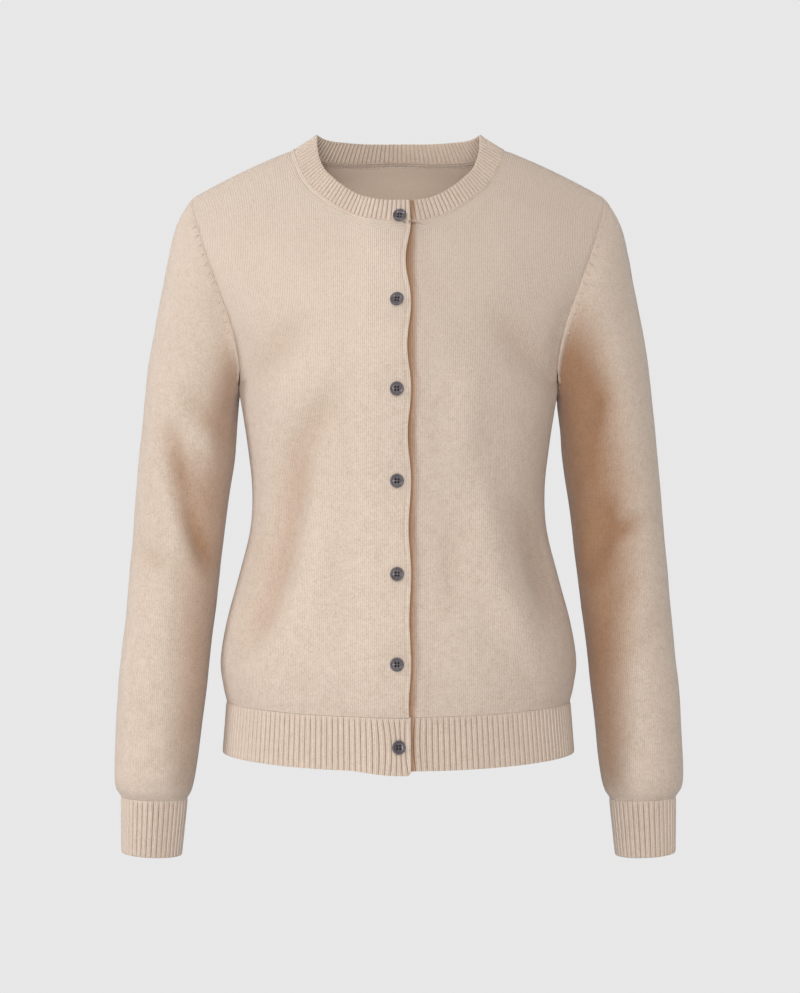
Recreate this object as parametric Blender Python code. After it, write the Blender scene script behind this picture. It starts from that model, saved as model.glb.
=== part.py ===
"""A fine-knit button cardigan, filled out as it is worn, with nobody inside it.

Metres, +Z up. The front faces -Y. The wearer's right side is at -X. The origin is in the
middle of the neck opening, level with the tops of the shoulders, where the wearer carries it.
Every panel is a thin wall: an outer skin read from a surface, and an inner skin moved in.
"""
import math

import bmesh
import bpy
import numpy as np

MM = 0.001
FRONT, BACK = -1, 1
RIGHT, LEFT = -1, 1

WALL = 2.0 * MM  # jersey
GAP = 0.3 * MM  # between two pieces at a seam
RIB_BASE = 1.9 * MM  # a rib band between its raised ribs
RIB_RAISE = 0.9 * MM
LAP = RIB_BASE + RIB_RAISE + 2 * GAP  # how far the right front stands out over the left one

# The body from the hem seam up to the ridge of the shoulders, a row for each section.
# side: where the section meets the side seam or, from the underarm up, the armhole.
# mid: where it would cross the middle of the front or back, across the neck opening too.
# full: exponent of its round. turn: share of a quarter turn that it makes.
BODY_COLUMNS = (
    "side_x", "side_z", "front_side_y", "back_side_y", "front_mid_y", "front_mid_z",
    "back_mid_y", "back_mid_z", "full", "turn", "drop",
)
BODY = (
    # hem seam
    (0.1556, -0.5005, 0.000, 0.000, -0.1120, -0.5065, 0.1080, -0.5010, 2.25, 1.00, 2.0),
    # puff over the hem
    (0.1589, -0.4860, 0.000, 0.000, -0.1165, -0.4910, 0.1108, -0.4860, 2.25, 1.00, 2.0),
    (0.1613, -0.4630, 0.000, 0.000, -0.1200, -0.4660, 0.1120, -0.4630, 2.25, 1.00, 2.0),
    # hip
    (0.1560, -0.4295, 0.000, 0.000, -0.1200, -0.4310, 0.1095, -0.4295, 2.25, 1.00, 2.0),
    (0.1450, -0.3880, 0.000, 0.000, -0.1150, -0.3890, 0.1025, -0.3880, 2.25, 1.00, 2.0),
    # waist
    (0.1345, -0.3450, 0.000, 0.000, -0.1095, -0.3450, 0.0950, -0.3450, 2.22, 1.00, 2.0),
    (0.1328, -0.3080, 0.000, 0.000, -0.1085, -0.3060, 0.0905, -0.3080, 2.20, 1.00, 2.0),
    # under the bust
    (0.1368, -0.2700, 0.000, 0.000, -0.1130, -0.2660, 0.0905, -0.2690, 2.20, 1.00, 2.0),
    (0.1415, -0.2390, 0.000, 0.000, -0.1180, -0.2310, 0.0925, -0.2360, 2.20, 1.00, 2.0),
    # underarm
    (0.1450, -0.2190, 0.000, 0.000, -0.1195, -0.2060, 0.0950, -0.2140, 2.15, 1.00, 2.0),
    # armhole
    (0.1432, -0.2110, -0.030, 0.031, -0.1190, -0.1830, 0.0965, -0.1920, 2.10, 0.96, 1.9),
    (0.1440, -0.1890, -0.047, 0.048, -0.1150, -0.1580, 0.0985, -0.1640, 2.05, 0.91, 1.8),
    (0.1500, -0.1600, -0.054, 0.057, -0.1070, -0.1290, 0.0970, -0.1320, 2.00, 0.85, 1.7),
    (0.1605, -0.1300, -0.053, 0.058, -0.0950, -0.0990, 0.0920, -0.0930, 2.00, 0.80, 1.65),
    (0.1715, -0.0995, -0.045, 0.051, -0.0790, -0.0700, 0.0800, -0.0500, 2.00, 0.78, 1.62),
    (0.1815, -0.0700, -0.027, 0.032, -0.0540, -0.0330, 0.0600, -0.0080, 2.00, 0.78, 1.62),
    # ridge of the shoulder
    (0.1884, -0.0446, 0.000, 0.000, 0.0000, 0.0220, 0.0000, 0.0220, 2.00, 0.82, 1.62),
)
SIDE_X, SIDE_Z = BODY_COLUMNS.index("side_x"), BODY_COLUMNS.index("side_z")
FRONT_MID_Z = BODY_COLUMNS.index("front_mid_z")
# A row beyond the ridge, so that the front and the back roll over it into each other.
OVER_THE_RIDGE = tuple(
    -value if name.endswith("_y") else value for name, value in zip(BODY_COLUMNS, BODY[-2])
)
UNDERARM_ROW = 9
SHOULDER_ROW = len(BODY) - 1
NECK_BELOW_ROW = 12  # the whole neckline lies above this row

# The neckline seen from above: half an ellipse in front, and half a flatter one behind.
NECK_HALF_WIDTH = 0.0950
NECK_FRONT_REACH = 0.0815
NECK_BACK_REACH = 0.0590
# The neckband's way from its seam to its free edge: in towards the neck, and up.
NECKBAND = (
    # angle, lean, rise
    (-10.0, 0.0075, 0.0185),
    (0.0, 0.0075, 0.0185),
    (45.0, 0.0110, 0.0175),
    (80.0, 0.0195, 0.0135),
    (90.0, 0.0205, 0.0127),
    (110.0, 0.0165, 0.0180),
    (145.0, 0.0085, 0.0208),
    (180.0, 0.0045, 0.0192),
)

# The free edge of the right front, past the middle, draws in between each two buttons.
EDGE_PAST_MIDDLE = 0.0110
UNDER_EDGE_PAST_MIDDLE = 0.0150
LAP_STARTS = 0.046  # how far from the middle the right front begins to lift, and is lifted
LAP_FULL = 0.019
# looks_up and looks_left: degrees by which a button tips on its shank, left as worn
BUTTONS = (
    # x, z, edge_draws_in_below, looks_up, looks_left
    (0.0010, -0.0724, 0.0048, 1.0, -12.0),
    (-0.0010, -0.1470, 0.0034, 3.0, -17.0),
    (-0.0011, -0.2222, 0.0030, 5.0, -12.0),
    (-0.0010, -0.3012, 0.0022, 2.0, -9.0),
    (-0.0009, -0.3830, 0.0016, 3.0, -11.0),
    (-0.0010, -0.4592, 0.0020, 2.0, -9.0),
    (0.0001, -0.5312, 0.0, 7.0, 13.0),
)
BUTTON_Z = [row[1] for row in BUTTONS]

# Sleeve sections from the armhole to the cuff seam. outer and inner: ends of each section
# away from and towards the body. front and back: half its depth each way from mid_y.
SLEEVE = (
    # outer_x, outer_z, inner_x, inner_z, mid_y, front, back
    # armhole
    (0.1884, -0.0446, 0.1450, -0.2190, 0.000, 0.0530, 0.0570),
    # sleeve head
    (0.2008, -0.0665, 0.1452, -0.2250, 0.001, 0.0545, 0.0575),
    (0.2084, -0.0940, 0.1457, -0.2320, 0.002, 0.0545, 0.0570),
    (0.2150, -0.1270, 0.1466, -0.2420, 0.003, 0.0540, 0.0560),
    (0.2215, -0.1610, 0.1478, -0.2560, 0.003, 0.0530, 0.0545),
    # upper arm
    (0.2275, -0.1980, 0.1496, -0.2790, 0.003, 0.0515, 0.0530),
    (0.2322, -0.2380, 0.1538, -0.3080, 0.003, 0.0500, 0.0510),
    (0.2362, -0.2820, 0.1583, -0.3430, 0.003, 0.0475, 0.0490),
    # elbow
    (0.2398, -0.3280, 0.1626, -0.3770, 0.002, 0.0455, 0.0470),
    (0.2432, -0.3720, 0.1662, -0.4080, -0.001, 0.0440, 0.0445),
    # forearm
    (0.2468, -0.4160, 0.1700, -0.4420, -0.006, 0.0425, 0.0425),
    (0.2505, -0.4580, 0.1730, -0.4760, -0.011, 0.0410, 0.0410),
    (0.2538, -0.5000, 0.1770, -0.5120, -0.016, 0.0400, 0.0400),
    (0.2553, -0.5360, 0.1805, -0.5450, -0.019, 0.0395, 0.0395),
    # puff over the cuff
    (0.2558, -0.5620, 0.1834, -0.5680, -0.021, 0.0385, 0.0385),
    (0.2548, -0.5760, 0.1862, -0.5800, -0.021, 0.0360, 0.0360),
    (0.2496, -0.5850, 0.1902, -0.5870, -0.021, 0.0312, 0.0312),
)
HEAD_ROWS = 3.5  # sections over which the armhole's own curve dies out of the sleeve
SLEEVE_ROWS = len(SLEEVE) - 1
CUFF_FOOT = (0.2490, -0.6350, 0.1955, -0.6380, -0.0225, 0.0295, 0.0295)
CUFF_RIBS = 38
NECKBAND_START = 0.8 * MM  # from the neckline to the band's first stitches

# The hem rib's foot, in the same terms as a body section.
HEM_FOOT = (0.1592, -0.5462, 0.000, 0.000, -0.1165, -0.5524, 0.1110, -0.5475, 2.25, 1.00, 2.0)
HEM_TOP_IN = 0.0004  # the band's top lies a little inside the jersey's edge
HEM_CORNER_DROP = 0.0035  # the right band hangs lower at its free corner
RIB_PITCH = 5.1 * MM
NECK_RIB_PITCH = 4.4 * MM

# The largest folds, on the face named: a line from its start to its end as seen from the
# front, the half width of the fold, and how far it stands out (or, below zero, sinks in).
FOLD_AT_ENDS = 0.45  # share of a fold's height that is left at its ends
FOLD_FADE_ROWS = 2.0  # sections over which folds die out at a panel's top and foot
FOLD_FADE_SHARE = 0.06  # share of a panel's half width over which they die out at its side
BODY_FOLDS = (
    # face, x0, z0, x1, z1, half_width, height
    (FRONT, -0.128, -0.330, -0.085, -0.415, 0.014, -0.0034),
    (FRONT, -0.133, -0.350, -0.110, -0.455, 0.013, -0.0022),
    (FRONT, 0.129, -0.328, 0.090, -0.405, 0.014, -0.0032),
    (FRONT, 0.132, -0.352, 0.104, -0.452, 0.012, -0.0024),
    (FRONT, -0.070, -0.245, -0.090, -0.330, 0.020, -0.0022),
    (FRONT, 0.072, -0.240, 0.094, -0.335, 0.020, -0.0024),
    (FRONT, -0.128, -0.205, -0.085, -0.165, 0.016, -0.0030),
    (FRONT, 0.128, -0.205, 0.088, -0.160, 0.016, -0.0030),
    (BACK, -0.126, -0.325, -0.070, -0.385, 0.015, -0.0036),
    (BACK, 0.127, -0.320, 0.075, -0.375, 0.015, -0.0034),
    (BACK, -0.110, -0.300, -0.030, -0.325, 0.014, -0.0025),
    (BACK, 0.112, -0.345, 0.040, -0.360, 0.014, -0.0025),
    (BACK, -0.126, -0.200, -0.080, -0.150, 0.016, -0.0030),
    (BACK, 0.126, -0.195, 0.082, -0.145, 0.016, -0.0030),
)
SLEEVE_FOLDS = (
    # face, x0, z0, x1, z1, half_width, height
    (FRONT, -0.208, -0.292, -0.172, -0.386, 0.010, -0.0052),
    (FRONT, -0.232, -0.366, -0.205, -0.378, 0.010, -0.0024),
    (FRONT, -0.160, -0.262, -0.188, -0.225, 0.012, -0.0034),
    (FRONT, -0.166, -0.330, -0.190, -0.280, 0.010, -0.0026),
    (FRONT, 0.190, -0.322, 0.170, -0.386, 0.010, -0.0050),
    (FRONT, 0.195, -0.352, 0.222, -0.340, 0.010, -0.0030),
    (FRONT, 0.158, -0.260, 0.186, -0.222, 0.012, -0.0034),
    (FRONT, 0.230, -0.430, 0.196, -0.462, 0.011, -0.0022),
    (BACK, -0.238, -0.330, -0.180, -0.372, 0.013, -0.0042),
    (BACK, -0.232, -0.380, -0.176, -0.348, 0.011, -0.0030),
    (BACK, -0.158, -0.258, -0.196, -0.215, 0.014, -0.0034),
    (BACK, 0.238, -0.338, 0.178, -0.365, 0.013, -0.0040),
    (BACK, 0.234, -0.372, 0.182, -0.392, 0.011, -0.0030),
    (BACK, 0.158, -0.256, 0.194, -0.218, 0.014, -0.0034),
)

BUTTON_RADIUS = 6.1 * MM
BUTTON_PROFILE = (
    # radius, height: back, edge, crest of the rim, dish
    (5.25 * MM, 0.0),
    (BUTTON_RADIUS, 1.5 * MM),
    (5.4 * MM, 2.4 * MM),
    (4.6 * MM, 1.5 * MM),
)
BUTTON_SIDES = 16
HOLES = 4
HOLE_RADIUS = 0.75 * MM
HOLE_FROM_MIDDLE = 1.7 * MM
HOLE_SIDES = 5
DRILL_LENGTH = 10.0 * MM
BUTTON_LIFT = 0.5 * MM  # the thread shank's share of the space behind the button

YARN = (0.690, 0.565, 0.455, 1.0)
RIB_YARN = (0.655, 0.520, 0.410, 1.0)
HORN = (0.085, 0.070, 0.068, 1.0)
YARN_ROUGHNESS, RIB_ROUGHNESS, HORN_ROUGHNESS = 0.90, 0.92, 0.35
SHARP_EDGE = math.radians(40)

# Mesh densities
SIDE_ROWS = 15  # rows of faces up a side seam
FRONT_ARM_ROWS, NECK_ROWS = 5, 8  # up the armhole, below the neckline's foot and above it
FRONT_COLUMNS = 13
BACK_ARM_ROWS, BACK_NECK_COLUMNS, BACK_SIDE_COLUMNS = 9, 7, 5
SLEEVE_DOWN = 20
EVEN_AFTER_ROWS = 4.0  # a sleeve's columns leave the body's and are even from here down
NECK_FOOT_FACES = SHOULDER_ROW - 2.6  # the row at the armhole across from the neckline's foot
RIB_PROFILE = ((0.0, 0.0), (0.24, 1.0), (0.76, 1.0))  # share of a rib's pitch and of its height

# Seams
HEM_SEAM_DROP = 1.5 * GAP
CUFF_SEAM_DROP = 2.0 * GAP
ARMHOLE_DROP = 1.5 * GAP
UNDERARM_REACH = 1.6  # how far up the armhole the sleeve also keeps off the body
LEAST_FACING = 0.5  # a surface that looks away further than this is lifted no more for it
SEAM_BLEND = 1.5  # how soon two panels that come into line share one direction of thickness
AT_THE_RIDGE = 0.02  # sections
PROBE_ROWS, PROBE_ACROSS = 0.4, 0.03  # how far from a seam a panel's lie is read

# Steps of the arithmetic
SMALL = 1e-3  # for slopes, in sections
EDGE_SMALL = 2e-4  # for slopes, in shares of a section
NEARLY_ZERO = 1e-9
HALVINGS = 40
TABLE_STEPS = 2000
LINE_POINTS = 400


def clear_scene():
    for obj in list(bpy.data.objects):
        bpy.data.objects.remove(obj, do_unlink=True)


def through(table, at):
    """Values of a table's columns on smooth curves through its rows, at row numbers `at`."""
    rows = np.asarray(table, float)
    at = np.clip(np.asarray(at, float), 0, len(rows) - 1)
    beyond = OVER_THE_RIDGE if table is BODY else 2 * rows[-1] - rows[-2]
    ends = np.vstack([2 * rows[0] - rows[1], rows, beyond])
    k = np.minimum(at.astype(int), len(rows) - 2)
    t = (at - k)[..., None]
    a, b, c, d = ends[k], ends[k + 1], ends[k + 2], ends[k + 3]
    cubic = 2 * b + (c - a) * t + (2 * a - 5 * b + 4 * c - d) * t**2
    cubic = cubic + (3 * b - a - 3 * c + d) * t**3
    return np.moveaxis(cubic / 2, -1, 0)


def unit(vectors):
    length = np.linalg.norm(vectors, axis=-1, keepdims=True)
    return vectors / np.maximum(length, NEARLY_ZERO)


def dot(a, b):
    return (a * b).sum(axis=-1, keepdims=True)


def ease(t):
    t = np.clip(t, 0.0, 1.0)
    return t * t * (3 - 2 * t)


def section(columns, face, across):
    """Points of a body section: across is 0 in its middle and 1 at its side."""
    side_x, side_z, front_side_y, back_side_y = columns[:4]
    front_mid_y, front_mid_z, back_mid_y, back_mid_z = columns[4:8]
    full, turn, drop = columns[8:]
    front_side_y, back_side_y = np.minimum(front_side_y, 0.0), np.maximum(back_side_y, 0.0)
    side_y = np.where(face == FRONT, front_side_y, back_side_y)
    mid_y = np.where(face == FRONT, front_mid_y, back_mid_y)
    mid_z = np.where(face == FRONT, front_mid_z, back_mid_z)
    share = np.minimum(np.abs(across), 1.0)

    def crown(q):
        return np.maximum(1 - q**full, 0.0) ** (1 / full)

    least = crown(turn)
    bulge = (crown(turn * share) - least) / (1 - least)
    x = across * side_x
    y = side_y + (mid_y - side_y) * bulge
    z = side_z + (mid_z - side_z) * (1 - share**drop)
    return np.stack([x, y, z], axis=-1)


def body_base(face, across, row):
    across, row = np.broadcast_arrays(np.asarray(across, float), np.asarray(row, float))
    return section(through(BODY, row), face, across)


def body_normal(face, across, row):
    across, row = np.broadcast_arrays(np.asarray(across, float), np.asarray(row, float))
    right = body_base(face, np.minimum(across + EDGE_SMALL, 1), row)
    left = body_base(face, np.maximum(across - EDGE_SMALL, -1), row)
    above = body_base(face, across, np.minimum(row + SMALL, SHOULDER_ROW))
    below = body_base(face, across, np.maximum(row - SMALL, 0))
    facing_out = -np.broadcast_to(face, across.shape)[..., None]
    return unit(np.cross(right - left, above - below)) * facing_out


def fold_push(folds, face, points):
    """How far the folds of a face move its points out."""
    push = np.zeros(points.shape[:-1])
    for fold_face, x0, z0, x1, z1, half_width, height in folds:
        if fold_face != face:
            continue
        start = np.array([x0, z0])
        run = np.array([x1, z1]) - start
        rel = points[..., [0, 2]] - start
        along = (rel @ run) / (run @ run)
        nearest = np.clip(along, 0.0, 1.0)
        away = np.linalg.norm(rel - nearest[..., None] * run, axis=-1)
        share = FOLD_AT_ENDS + (1 - FOLD_AT_ENDS) * np.sin(np.pi * nearest)
        push += height * share * np.exp(-((away / half_width) ** 2))
    return push


def lap_lift(side, x_towards_side):
    """How far the right front and its bands stand out where they lie on the left ones."""
    if side == LEFT:
        return np.zeros_like(x_towards_side)
    return LAP * ease((LAP_STARTS - x_towards_side) / (LAP_STARTS - LAP_FULL))


def flip(side, points):
    """Turns points worked out for the wearer's left to the side named."""
    return points * np.array([side, 1.0, 1.0])


def edge_past_middle(z):
    """How far the right front's free edge lies past the middle at a height."""
    draw = np.zeros_like(z)
    for (_, upper_z, draws_in, _, _), lower_z in zip(BUTTONS, BUTTON_Z[1:]):
        t = np.clip((upper_z - z) / (upper_z - lower_z), 0.0, 1.0)
        draw += draws_in * np.sin(np.pi * t) ** 2
    return EDGE_PAST_MIDDLE - draw


def solve_row(face, x, want_y):
    """Row and share across where the body has this x and y, high up by the neck."""
    low = np.full_like(x, NECK_BELOW_ROW - 2.0)
    high = np.full_like(x, float(SHOULDER_ROW))
    for _ in range(HALVINGS):
        row = (low + high) / 2
        across = x / through(BODY, row)[SIDE_X]
        outside = face * body_base(face, across, row)[..., 1] > face * want_y
        low = np.where(outside, row, low)
        high = np.where(outside, high, row)
    return x / through(BODY, high)[SIDE_X], high


def neckline(angle):
    """(face, across, row) of the neckline at an angle: 0 in front, 90 at the side, 180 behind."""
    a = np.radians(np.asarray(angle, float))
    x = NECK_HALF_WIDTH * np.sin(a)
    front = np.cos(a) > NEARLY_ZERO
    y = np.where(front, -NECK_FRONT_REACH, NECK_BACK_REACH) * np.abs(np.cos(a))
    face = np.where(front, FRONT, BACK)
    across_f, row_f = solve_row(FRONT, x, y)
    across_b, row_b = solve_row(BACK, x, y)
    across, row = np.where(front, across_f, across_b), np.where(front, row_f, row_b)
    at_side = np.abs(np.cos(a)) <= NEARLY_ZERO
    across = np.where(at_side, x / BODY[SHOULDER_ROW][SIDE_X], across)
    return face, across, np.where(at_side, SHOULDER_ROW, row)


NECK_ACROSS = NECK_HALF_WIDTH / BODY[SHOULDER_ROW][SIDE_X]


def armhole_angle(z):
    """The sleeve's angle at a height of the armhole: 0 at the shoulder, pi at the underarm."""
    top, foot = BODY[SHOULDER_ROW][SIDE_Z], BODY[UNDERARM_ROW][SIDE_Z]
    return np.arccos(np.clip((2 * z - top - foot) / (top - foot), -1.0, 1.0))


def armhole_row(angle):
    rows = np.linspace(UNDERARM_ROW, SHOULDER_ROW, TABLE_STEPS)
    angles = armhole_angle(through(BODY, rows)[SIDE_Z])
    return np.interp(np.arccos(np.cos(angle)), angles[::-1], rows[::-1])


def ring(columns, angle):
    outer_x, outer_z, inner_x, inner_z, mid_y, front, back = columns
    swing = np.cos(angle)
    x = (outer_x + inner_x) / 2 + (outer_x - inner_x) / 2 * swing
    z = (outer_z + inner_z) / 2 + (outer_z - inner_z) / 2 * swing
    y = mid_y - np.where(np.sin(angle) > 0, front, back) * np.sin(angle)
    return np.stack([x, y, z], axis=-1)


def sleeve_base(angle, row):
    """The left sleeve: angle 0 is its outer side, then its front, its inner side, its back."""
    angle, row = np.broadcast_arrays(np.asarray(angle, float), np.asarray(row, float))
    round_ring = ring(through(SLEEVE, row), angle)
    face = np.where(np.sin(angle) > 0, FRONT, BACK)
    armhole = body_base(face, 1.0, armhole_row(angle))
    first_ring = ring(through(SLEEVE, np.zeros_like(row)), angle)
    keep = (1 - np.clip(row / HEAD_ROWS, 0.0, 1.0))[..., None] ** 2
    return round_ring + keep * (armhole - first_ring)


def sleeve_normal(angle, row):
    angle, row = np.broadcast_arrays(np.asarray(angle, float), np.asarray(row, float))
    ahead = sleeve_base(angle + SMALL, row)
    behind = sleeve_base(angle - SMALL, row)
    lower = sleeve_base(angle, np.minimum(row + SMALL, SLEEVE_ROWS))
    upper = sleeve_base(angle, np.maximum(row - SMALL, 0))
    return unit(np.cross(ahead - behind, lower - upper))


def shared_inward(mine, other, into_other):
    """Direction of the wall's thickness at a seam, the same for both pieces where they meet."""
    alike = dot(mine, other)
    bends_out = dot(into_other, mine) < 0
    weight = np.where(bends_out, 1.0, ease(alike * SEAM_BLEND))
    return -unit(mine + weight * other)


def armhole_inward(angle, for_sleeve):
    face = np.where(np.sin(angle) > 0, FRONT, BACK)
    row = armhole_row(angle)
    body = body_normal(face, 1.0 - 2 * EDGE_SMALL, row)
    ridge = (SHOULDER_ROW - row < AT_THE_RIDGE)[..., None]
    up = unit(body_normal(FRONT, 1.0, row) + body_normal(BACK, 1.0, row))
    body = np.where(ridge, up, body)
    sleeve = sleeve_normal(angle, 0.0)
    into_sleeve = unit(sleeve_base(angle, PROBE_ROWS) - sleeve_base(angle, 0.0))
    into_body = unit(body_base(face, 1.0 - PROBE_ACROSS, row) - body_base(face, 1.0, row))
    if for_sleeve:
        return shared_inward(sleeve, body, into_body)
    return shared_inward(body, sleeve, into_sleeve)


def place_object(name, mesh):
    obj = bpy.data.objects.new(name, mesh)
    bpy.context.scene.collection.objects.link(obj)
    return obj


def mesh_of(name, bm):
    """A mesh from a bmesh, shaded smooth but for its sharp edges."""
    mesh = bpy.data.meshes.new(name)
    bm.to_mesh(mesh)
    bm.free()
    mesh.shade_smooth()
    mesh.set_sharp_from_angle(angle=SHARP_EDGE)
    return mesh


def finish(obj, colour, roughness):
    material = bpy.data.materials.new(obj.name + "_finish")
    material.use_nodes = True
    shader = material.node_tree.nodes["Principled BSDF"]
    shader.inputs["Base Color"].default_value = colour
    shader.inputs["Roughness"].default_value = roughness
    shader.inputs["Metallic"].default_value = 0.0
    material.diffuse_color = colour
    obj.data.materials.append(material)


def make_wall(name, outer, inner, wraps):
    """A closed wall between two skins of points, [row][column]; a tube wraps its columns."""
    rows, columns = outer.shape[:2]
    bm = bmesh.new()
    place = bm.verts.layers.int.new("place")
    grid = []
    for r in range(rows):
        line = []
        for c in range(columns):
            vert = bm.verts.new(outer[r, c])
            vert[place] = r * columns + c
            line.append(vert)
        grid.append(line)
    for r in range(rows - 1):
        for c in range(columns if wraps else columns - 1):
            right = (c + 1) % columns
            bm.faces.new((grid[r][c], grid[r][right], grid[r + 1][right], grid[r + 1][c]))
    skin = bmesh.ops.extrude_face_region(bm, geom=bm.faces[:], use_keep_orig=True)
    for item in skin["geom"]:
        if isinstance(item, bmesh.types.BMVert):
            r, c = divmod(item[place], columns)
            item.co = inner[r, c]
    bmesh.ops.recalc_face_normals(bm, faces=bm.faces[:])
    if bm.calc_volume(signed=True) < 0:
        bmesh.ops.reverse_faces(bm, faces=bm.faces[:])
    finish(place_object(name, mesh_of(name, bm)), YARN, YARN_ROUGHNESS)


def pull_in(points, rim, towards, distance=GAP / 2):
    """Moves the points of one rim of a panel in from its seam."""
    points[rim] += distance * unit(points[towards] - points[rim])


def body_skins(side, face, across, row, lap=True):
    """Outer points and inward directions of a panel, with its folds."""
    base = body_base(face, across, row)
    normal = body_normal(face, np.clip(across, -1.0, 1.0), row)
    world = flip(side, base)
    push = fold_push(BODY_FOLDS, face, world) * fold_room(across, row)
    outer = world + flip(side, normal) * push[..., None]
    if lap:
        facing = np.maximum(-normal[..., 1], LEAST_FACING)
        outer[..., 1] -= lap_lift(side, base[..., 0]) / facing
    return outer, flip(side, -normal)


def fold_room(across, row):
    """Folds die out at the seams."""
    from_side = ease((1 - np.abs(across)) / FOLD_FADE_SHARE)
    return from_side * ease(row / FOLD_FADE_ROWS) * ease((SHOULDER_ROW - row) / FOLD_FADE_ROWS)


def front_arm_rows():
    """Rows where the front's faces meet the armhole, from the underarm to the shoulder."""
    lower = np.linspace(UNDERARM_ROW, NECK_FOOT_FACES, FRONT_ARM_ROWS + 1)
    upper = np.linspace(NECK_FOOT_FACES, SHOULDER_ROW, NECK_ROWS + 1)
    return np.concatenate([lower, upper[1:]])


def back_arm_rows():
    return np.linspace(UNDERARM_ROW, SHOULDER_ROW, BACK_ARM_ROWS + 1)


def make_front(side, name):
    # the free edge, from the hem seam to the foot of the neckline
    past = -edge_past_middle(np.array([BUTTON_Z[0]]))[0]
    if side == LEFT:
        past = -UNDER_EDGE_PAST_MIDDLE
    foot_angle = math.degrees(math.asin(past / NECK_HALF_WIDTH))
    _, foot_across, foot_row = neckline(np.array([foot_angle]))
    up_the_side = np.linspace(0, UNDERARM_ROW, SIDE_ROWS + 1)
    mid_row = np.concatenate(
        [
            up_the_side,
            np.linspace(UNDERARM_ROW, foot_row[0], FRONT_ARM_ROWS + 1)[1:],
        ]
    )
    mid_z = body_base(FRONT, 0.0, mid_row)[:, 2]
    mid_x = -edge_past_middle(mid_z) if side == RIGHT else np.full_like(mid_z, past)
    mid_across = mid_x / through(BODY, mid_row)[SIDE_X]
    mid_across[-1] = foot_across[0]
    # the neckline, up to the shoulder seam
    bend = np.linspace(0, 1, NECK_ROWS + 1)[1:]
    _, neck_across, neck_row = neckline(foot_angle + (90 - foot_angle) * bend)
    mid_across = np.concatenate([mid_across, neck_across])
    mid_row = np.concatenate([mid_row, neck_row])
    side_row = np.concatenate([up_the_side, front_arm_rows()[1:]])
    s = np.sin(np.linspace(0, math.pi / 2, FRONT_COLUMNS + 1))[None, :]
    across = mid_across[:, None] + (1 - mid_across[:, None]) * s
    row = mid_row[:, None] + (side_row - mid_row)[:, None] * s
    outer, inward = body_skins(side, FRONT, across, row)
    # shared thickness directions where it is sewn to its neighbours
    below = side_row < UNDERARM_ROW + SMALL
    inward[below, -1] = np.array([-side, 0.0, 0.0])
    angle = armhole_angle(through(BODY, side_row[~below])[SIDE_Z])
    inward[~below, -1] = flip(side, armhole_inward(angle, for_sleeve=False))
    top = unit(body_normal(FRONT, across[-1], row[-1]) + body_normal(BACK, across[-1], row[-1]))
    inward[-1, :-1] = flip(side, -top[:-1])
    inward[-1, -1] = unit(inward[-1, -2] + inward[-1, -1])
    inner = outer + WALL * inward
    neckline_starts = SIDE_ROWS + FRONT_ARM_ROWS
    for skin in (outer, inner):
        pull_in(skin, np.s_[:, -1], np.s_[:, -2])
        pull_in(skin, np.s_[-1], np.s_[-2])
        pull_in(skin, np.s_[neckline_starts:, 0], np.s_[neckline_starts:, 1])
        pull_in(skin, np.s_[0], np.s_[1])
    return make_wall(name, outer, inner, wraps=False)


def make_back(name):
    half_neck = NECK_ACROSS * np.sin(np.linspace(0, math.pi / 2, BACK_NECK_COLUMNS + 1))
    t = np.linspace(0, 1, BACK_SIDE_COLUMNS + 1)[1:]
    start = math.asin(NECK_ACROSS)
    outside = np.sin(start + (math.pi / 2 - start) * t)
    half = np.concatenate([half_neck, outside])
    _, line_across, line_row = neckline(np.linspace(180, 90, LINE_POINTS))
    in_neck = half < NECK_ACROSS - SMALL
    top = np.where(in_neck, np.interp(half, line_across, line_row), SHOULDER_ROW)
    across = np.concatenate([-half[:0:-1], half])
    top = np.concatenate([top[:0:-1], top])
    side_row = np.concatenate([np.linspace(0, UNDERARM_ROW, SIDE_ROWS + 1), back_arm_rows()[1:]])
    up = side_row[:, None] / SHOULDER_ROW
    row = side_row[:, None] * (1 + (top / SHOULDER_ROW - 1) * up**2)
    across = np.broadcast_to(across, row.shape).copy()
    outer, inward = body_skins(LEFT, BACK, across, row, lap=False)
    for column, sign in ((0, RIGHT), (-1, LEFT)):
        below = side_row < UNDERARM_ROW + SMALL
        inward[below, column] = np.array([-sign, 0.0, 0.0])
        angle = -armhole_angle(through(BODY, side_row[~below])[SIDE_Z])
        inward[~below, column] = flip(sign, armhole_inward(angle, for_sleeve=False))
    ridge = np.abs(across[-1]) >= NECK_ACROSS - SMALL
    both = body_normal(FRONT, across[-1], row[-1]) + body_normal(BACK, across[-1], row[-1])
    inward[-1, ridge] = -unit(both)[ridge]
    for column, beside in ((0, 1), (-1, -2)):
        inward[-1, column] = unit(inward[-1, column] + inward[-1, beside])
    inner = outer + WALL * inward
    for skin in (outer, inner):
        pull_in(skin, np.s_[:, 0], np.s_[:, 1])
        pull_in(skin, np.s_[:, -1], np.s_[:, -2])
        pull_in(skin, np.s_[-1], np.s_[-2])
        pull_in(skin, np.s_[0], np.s_[1])
    return make_wall(name, outer, inner, wraps=False)


def sleeve_fold_room(angle, row):
    down_its_length = ease(row / FOLD_FADE_ROWS) * ease((SLEEVE_ROWS - row) / FOLD_FADE_ROWS)
    return down_its_length * np.sqrt(np.abs(np.sin(angle)))


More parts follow.
